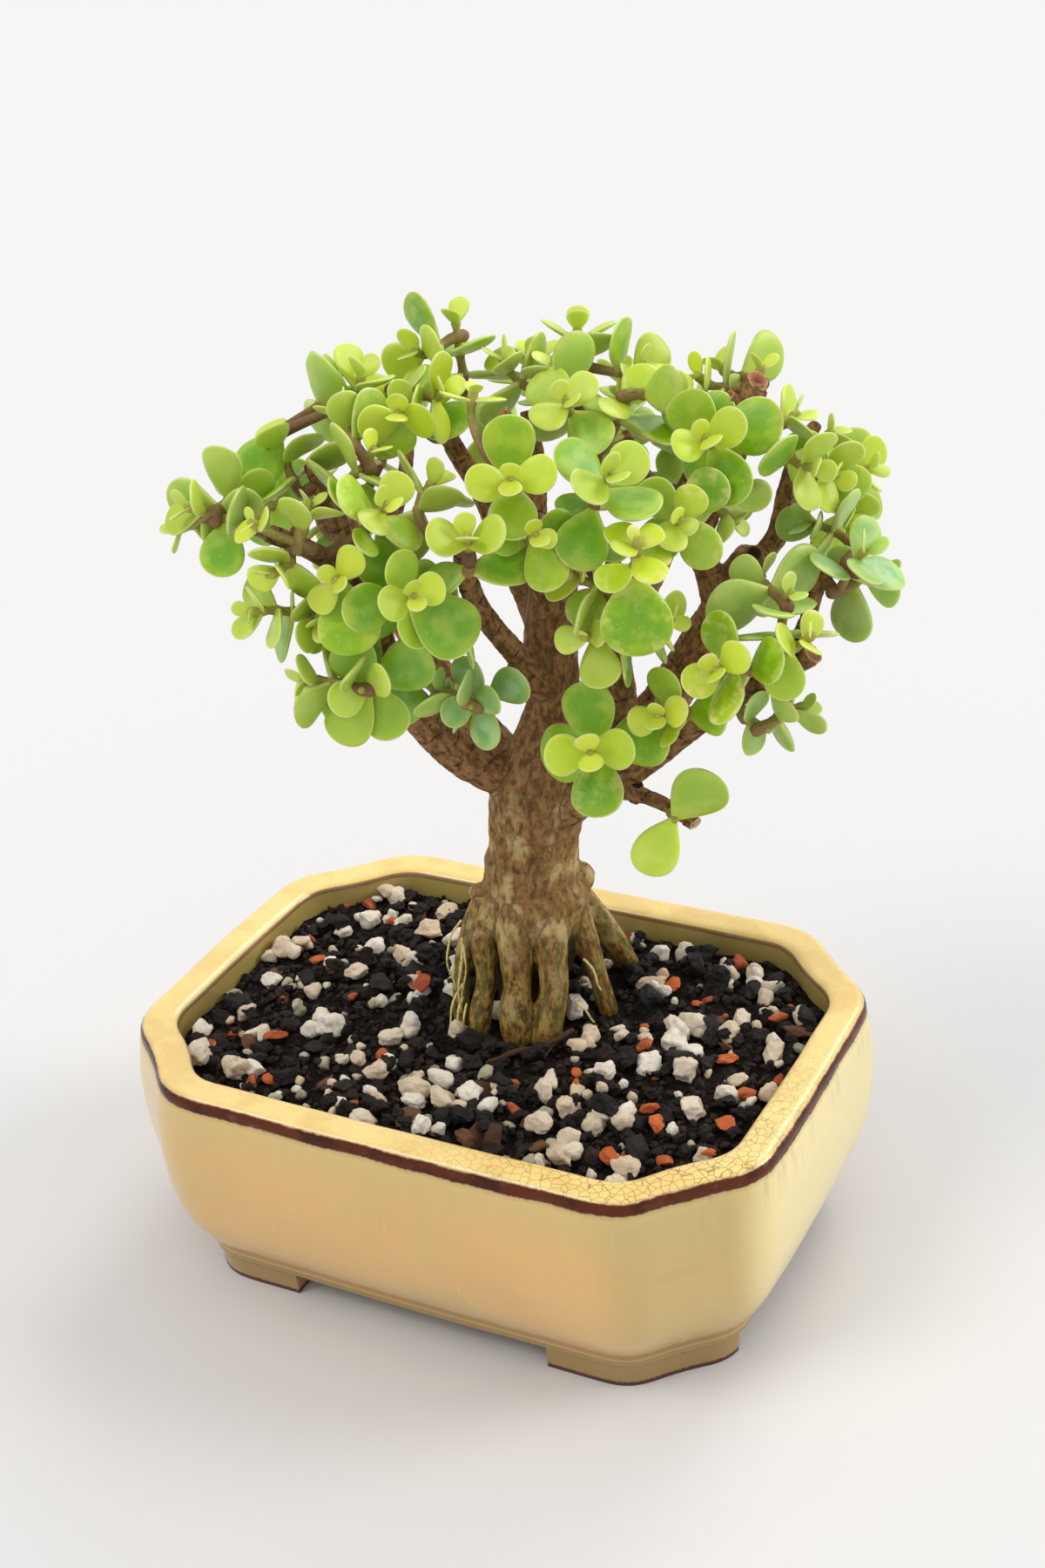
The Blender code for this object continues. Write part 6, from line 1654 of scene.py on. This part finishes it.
def grainSkin(shape, size, flat, smooth, lumpy, chance):  # one grain, rounded or broken
    points = np.array(shape[0])
    for _ in range(mix["facets"]):
        plane = np.array(Vector([chance.gauss(0, 1) for _ in range(3)]).normalized())
        over = points @ plane - chance.uniform(0.5, 0.85) - 0.14 * smooth
        points = points - np.outer(np.clip(over, 0, None), plane)
    shift = Vector([chance.uniform(0, 90) for _ in range(3)])
    lumps = np.array([noise.fractal(Vector(p) * lumpy[1] + shift, 0.8, 2.2, 4) for p in points])
    points = points * (1 + lumps[:, None] * lumpy[0])
    stretch = np.array([chance.uniform(*ends) for ends in ((0.95, 1.35), (0.75, 1.0), (0.8, 1.15))])
    stretch[2] *= flat
    turn = Matrix.Rotation(chance.uniform(0, 6.28), 3, "Z") @ Matrix.Rotation(chance.gauss(0, 0.4), 3, "X")
    turn = turn @ Matrix.Rotation(chance.gauss(0, 0.35), 3, "Y")
    return (points * stretch * size / 2) @ np.array(turn).T, shape[1]


def ballShape(steps):
    shape = bmesh.new()
    bmesh.ops.create_icosphere(shape, subdivisions=steps, radius=1)
    found = [tuple(v.co) for v in shape.verts], [tuple(v.index for v in f.verts) for f in shape.faces]
    shape.free()
    return found


class Ground:  # heights of the bed and of what lies on it, on a square map

    def __init__(self, outline):
        self.low = outline.min(0)
        self.heights = np.full(((outline.max(0) - self.low) / mix["cell"]).astype(int) + 2, mix["height"])

    # The part of the map round a place, and how far from the place each of its cells is, squared.
    def cells(self, x, y, reach):
        spans, gaps = [], []
        for middle, low, count in zip((x, y), self.low, self.heights.shape):
            first = max(int((middle - reach - low) / mix["cell"]), 0)
            last = min(int((middle + reach - low) / mix["cell"]) + 2, count)
            spans.append(slice(first, last))
            gaps.append(low + np.arange(first, last) * mix["cell"] - middle)
        return self.heights[tuple(spans)], gaps[0][:, None] ** 2 + gaps[1] ** 2


def mound(x, y):
    return mix["mound"] * (1 - (x / 66) ** 2) * (1 - (y / 46) ** 2)


def addBed(outline):
    step = mix["bedStep"]
    low, high = outline.min(0), outline.max(0)
    xs, ys = (np.arange(low[axis] - step, high[axis] + 2 * step, step) for axis in (0, 1))
    grid = np.stack(np.meshgrid(xs, ys, indexing="ij"), axis=2).reshape(-1, 2)
    keep = insideOutline(outline * 1.02, grid)
    lumps = roughness(np.column_stack([grid, np.zeros(len(grid))]), 3.2, 3, 6) * mix["bedLumps"]
    top = mix["height"] + mound(grid[:, 0], grid[:, 1]) + lumps
    number = np.arange(len(grid)).reshape(len(xs), len(ys))
    faces = []
    for i in range(len(xs) - 1):
        for j in range(len(ys) - 1):
            quad = (number[i, j], number[i + 1, j], number[i + 1, j + 1], number[i, j + 1])
            if all(keep[list(quad)]):
                faces.append(quad)
    used, faces = usedOnly(faces)
    points = np.column_stack([grid, top])[used]
    mesh = meshOf("mixBed", placed(points, potPlaceMm), faces, finePeat)
    # the bed is a solid block: its rim goes down to the floor of the pot
    shape = bmesh.new()
    shape.from_mesh(mesh)
    rim = [edge for edge in shape.edges if edge.is_boundary]
    walls = bmesh.ops.extrude_edge_only(shape, edges=rim)["geom"]
    floor = potPlace.z + mix["bedFloor"] * mm
    for vertex in (part for part in walls if isinstance(part, bmesh.types.BMVert)):
        vertex.co.z = floor
    bmesh.ops.holes_fill(shape, edges=[edge for edge in shape.edges if edge.is_boundary])
    bmesh.ops.recalc_face_normals(shape, faces=shape.faces)
    shape.to_mesh(mesh)
    shape.free()
    addPiece("mixBed", mesh, "potting_mix", "potting_mix")


def addGrains(outline):
    ground, chance = Ground(outline), random.Random(mix["seed"])
    toPot = Matrix.Translation(treeStand["place"]) @ treeTurn
    roots = []  # the wood that the grains lie beside
    for x, y, z, radius in sum((trunkRoute, *rootRoutes), ()):
        if z < mix["rootTop"]:
            roots.append((*(toPot @ Vector((x, y, z))).xy, radius))
    shapes = [ballShape(steps) for steps in (1, 2, 3, 4)]
    low, high = outline.min(0), outline.max(0)
    for kind, count, smallest, largest, sink, flat, smooth, lumpy, highest in mix["kinds"]:
        skins, tones = [], []
        sizes = [smallest + (largest - smallest) * chance.random() ** mix["smallMore"] for _ in range(count)]
        for size in sorted(sizes, reverse=True):
            for _ in range(mix["tries"]):
                x, y = chance.uniform(low[0], high[0]), chance.uniform(low[1], high[1])
                reach = size * mix["reach"]
                spots = np.array([(x, y), (x + reach, y), (x - reach, y), (x, y + reach), (x, y - reach)])
                if not insideOutline(outline, spots).all():
                    continue
                room = min(math.hypot(x - rootX, y - rootY) - radius for rootX, rootY, radius in roots)
                if room < size * mix["fromWood"]:
                    continue
                patch, away = ground.cells(x, y, reach)
                under = away < reach ** 2
                rest = patch[under].mean() if under.any() else mix["height"]
                if rest > mix["height"] + highest:
                    continue
                break
            else:
                continue
            tall = size * flat
            middle = rest + tall * (0.5 - sink)
            dome = middle + tall * 0.5 * np.sqrt(1 - away[under] / reach ** 2)
            patch[under] = np.maximum(patch[under], dome)
            # the larger, the finer; pumice is round, so that coarse faces would show on it
            shape = shapes[sum(size > least for least in (1.5, 3.2, 5.4 if kind == "pumice" else 9))]
            points, faces = grainSkin(shape, size, flat, smooth, lumpy, chance)
            skins.append((points + np.array((x, y, middle + mound(x, y))), faces))
            tones.append(np.tile((chance.random(), chance.random()), (len(points), 1)))
        points, faces = joinSkins(skins)
        mesh = meshOf(kind, placed(points, potPlaceMm), faces, mixMaterials[kind], smooth > 0.5)
        for number, values in zip(("ownTone", "stained"), np.vstack(tones).T):
            keepNumbers(mesh, number, values)
        addPiece("mix." + kind, mesh, "potting_mix", "potting_mix")
        print(kind, len(skins), "grains,", len(faces), "faces")


# grain kinds: two colours and one for stains, roughness, bump and the size of its lumps in mm, share of pits
grainFinishes = {
    # frothy volcanic glass: chalky cream, with fine pores that hold dust
    "pumice": ("#F6EDDD", "#E2CAAC", "#AC8F70", 0.9, 0.5, 0.4, 0.5),
    # charred bark: black brown and rough, with a faint dry sheen on broken faces
    "charcoal": ("#120D0B", "#261C17", "#3B2C24", 0.8, 0.45, 0.55, 0.5),
    "charredChip": ("#0E0B0A", "#211915", "#382A22", 0.7, 0.4, 0.7, 0.4),
    # composted pine bark: flat brown flakes
    "barkFlake": ("#4A2E20", "#6A452F", "#231612", 0.8, 0.25, 1.1, 0.6),
    # crushed fired clay: orange red, matt
    "firedClay": ("#BC5C2C", "#96462A", "#D58A58", 0.85, 0.15, 0.6, 0.4),
    "greyGrit": ("#B5AE93", "#8D8A72", "#5E5A48", 0.75, 0.15, 0.7, 0.4),
    "crumb": ("#17110F", "#2C201A", "#4A392F", 0.85, 0.12, 0.5, 0.5),
}


def grainMaterial(kind, pale, deep, stain, rough, bump, lump, pits):
    material, tree, _, read = startMaterial(kind, {"Roughness": rough, "Specular IOR Level": 0.3}, {
        "cloud": (2.22, 3, 0.6), "grit": (lump, 3, 0.65)}, ("ownTone", "stained"))
    stained = addNode(tree, "Math", {0: read["stained"], 1: 0.6}, operation="MULTIPLY")
    tone = addCoats(tree, pale, (
        (read["ownTone"], 0.0, 1.0, 1.0, deep), (read["cloud"], 0.5, 0.68, stained, stain),
        (read["grit"], 0.4, 0.3, pits, stain)))
    return finishMaterial(material, tone, ((read["grit"], bump, 1.0),))


def peatMaterial():  # peat and fines: nearly black, crumbly, matt
    material, tree, _, read = startMaterial("finePeat", {
        "Roughness": 0.95, "Specular IOR Level": 0.15,
    }, {"grit": (1.11, 5, 0.7)})
    tone = addCoats(tree, "#0F0B0A", ((read["grit"], 0.4, 0.66, 1.0, "#2A1E18"),))
    return finishMaterial(material, tone, ((read["grit"], 1.0, 1.0),))


finePeat = peatMaterial()
mixMaterials = {kind: grainMaterial(kind, *finish) for kind, finish in grainFinishes.items()}
mixPlan = np.array([tuple(point) for point in potOutline(mix["edge"])])
addBed(mixPlan)
addGrains(mixPlan)
# a dark dead twig lies at the foot of the trunk
twigRoute = ((-12, -23.5, 50.2, 0.45), (-5, -22, 51.6, 0.7), (1, -20.8, 52.0, 0.75), (7.5, -17.5, 53.2, 0.55))
twigPoints, twigFaces = tubeSkin(smoothRun(routeOf(twigRoute), 0.6), 8, 0.8, 0.3)
twigPoints += roughness(twigPoints, 1.6, 2, 4)[:, None] * (0.25, 0.25, 0.3)
deadTwig = meshOf("deadTwig", placed(twigPoints, treePlace), twigFaces, mixMaterials["barkFlake"])
addPiece("mix.deadTwig", deadTwig, "potting_mix", "potting_mix")
print("potting mix made")
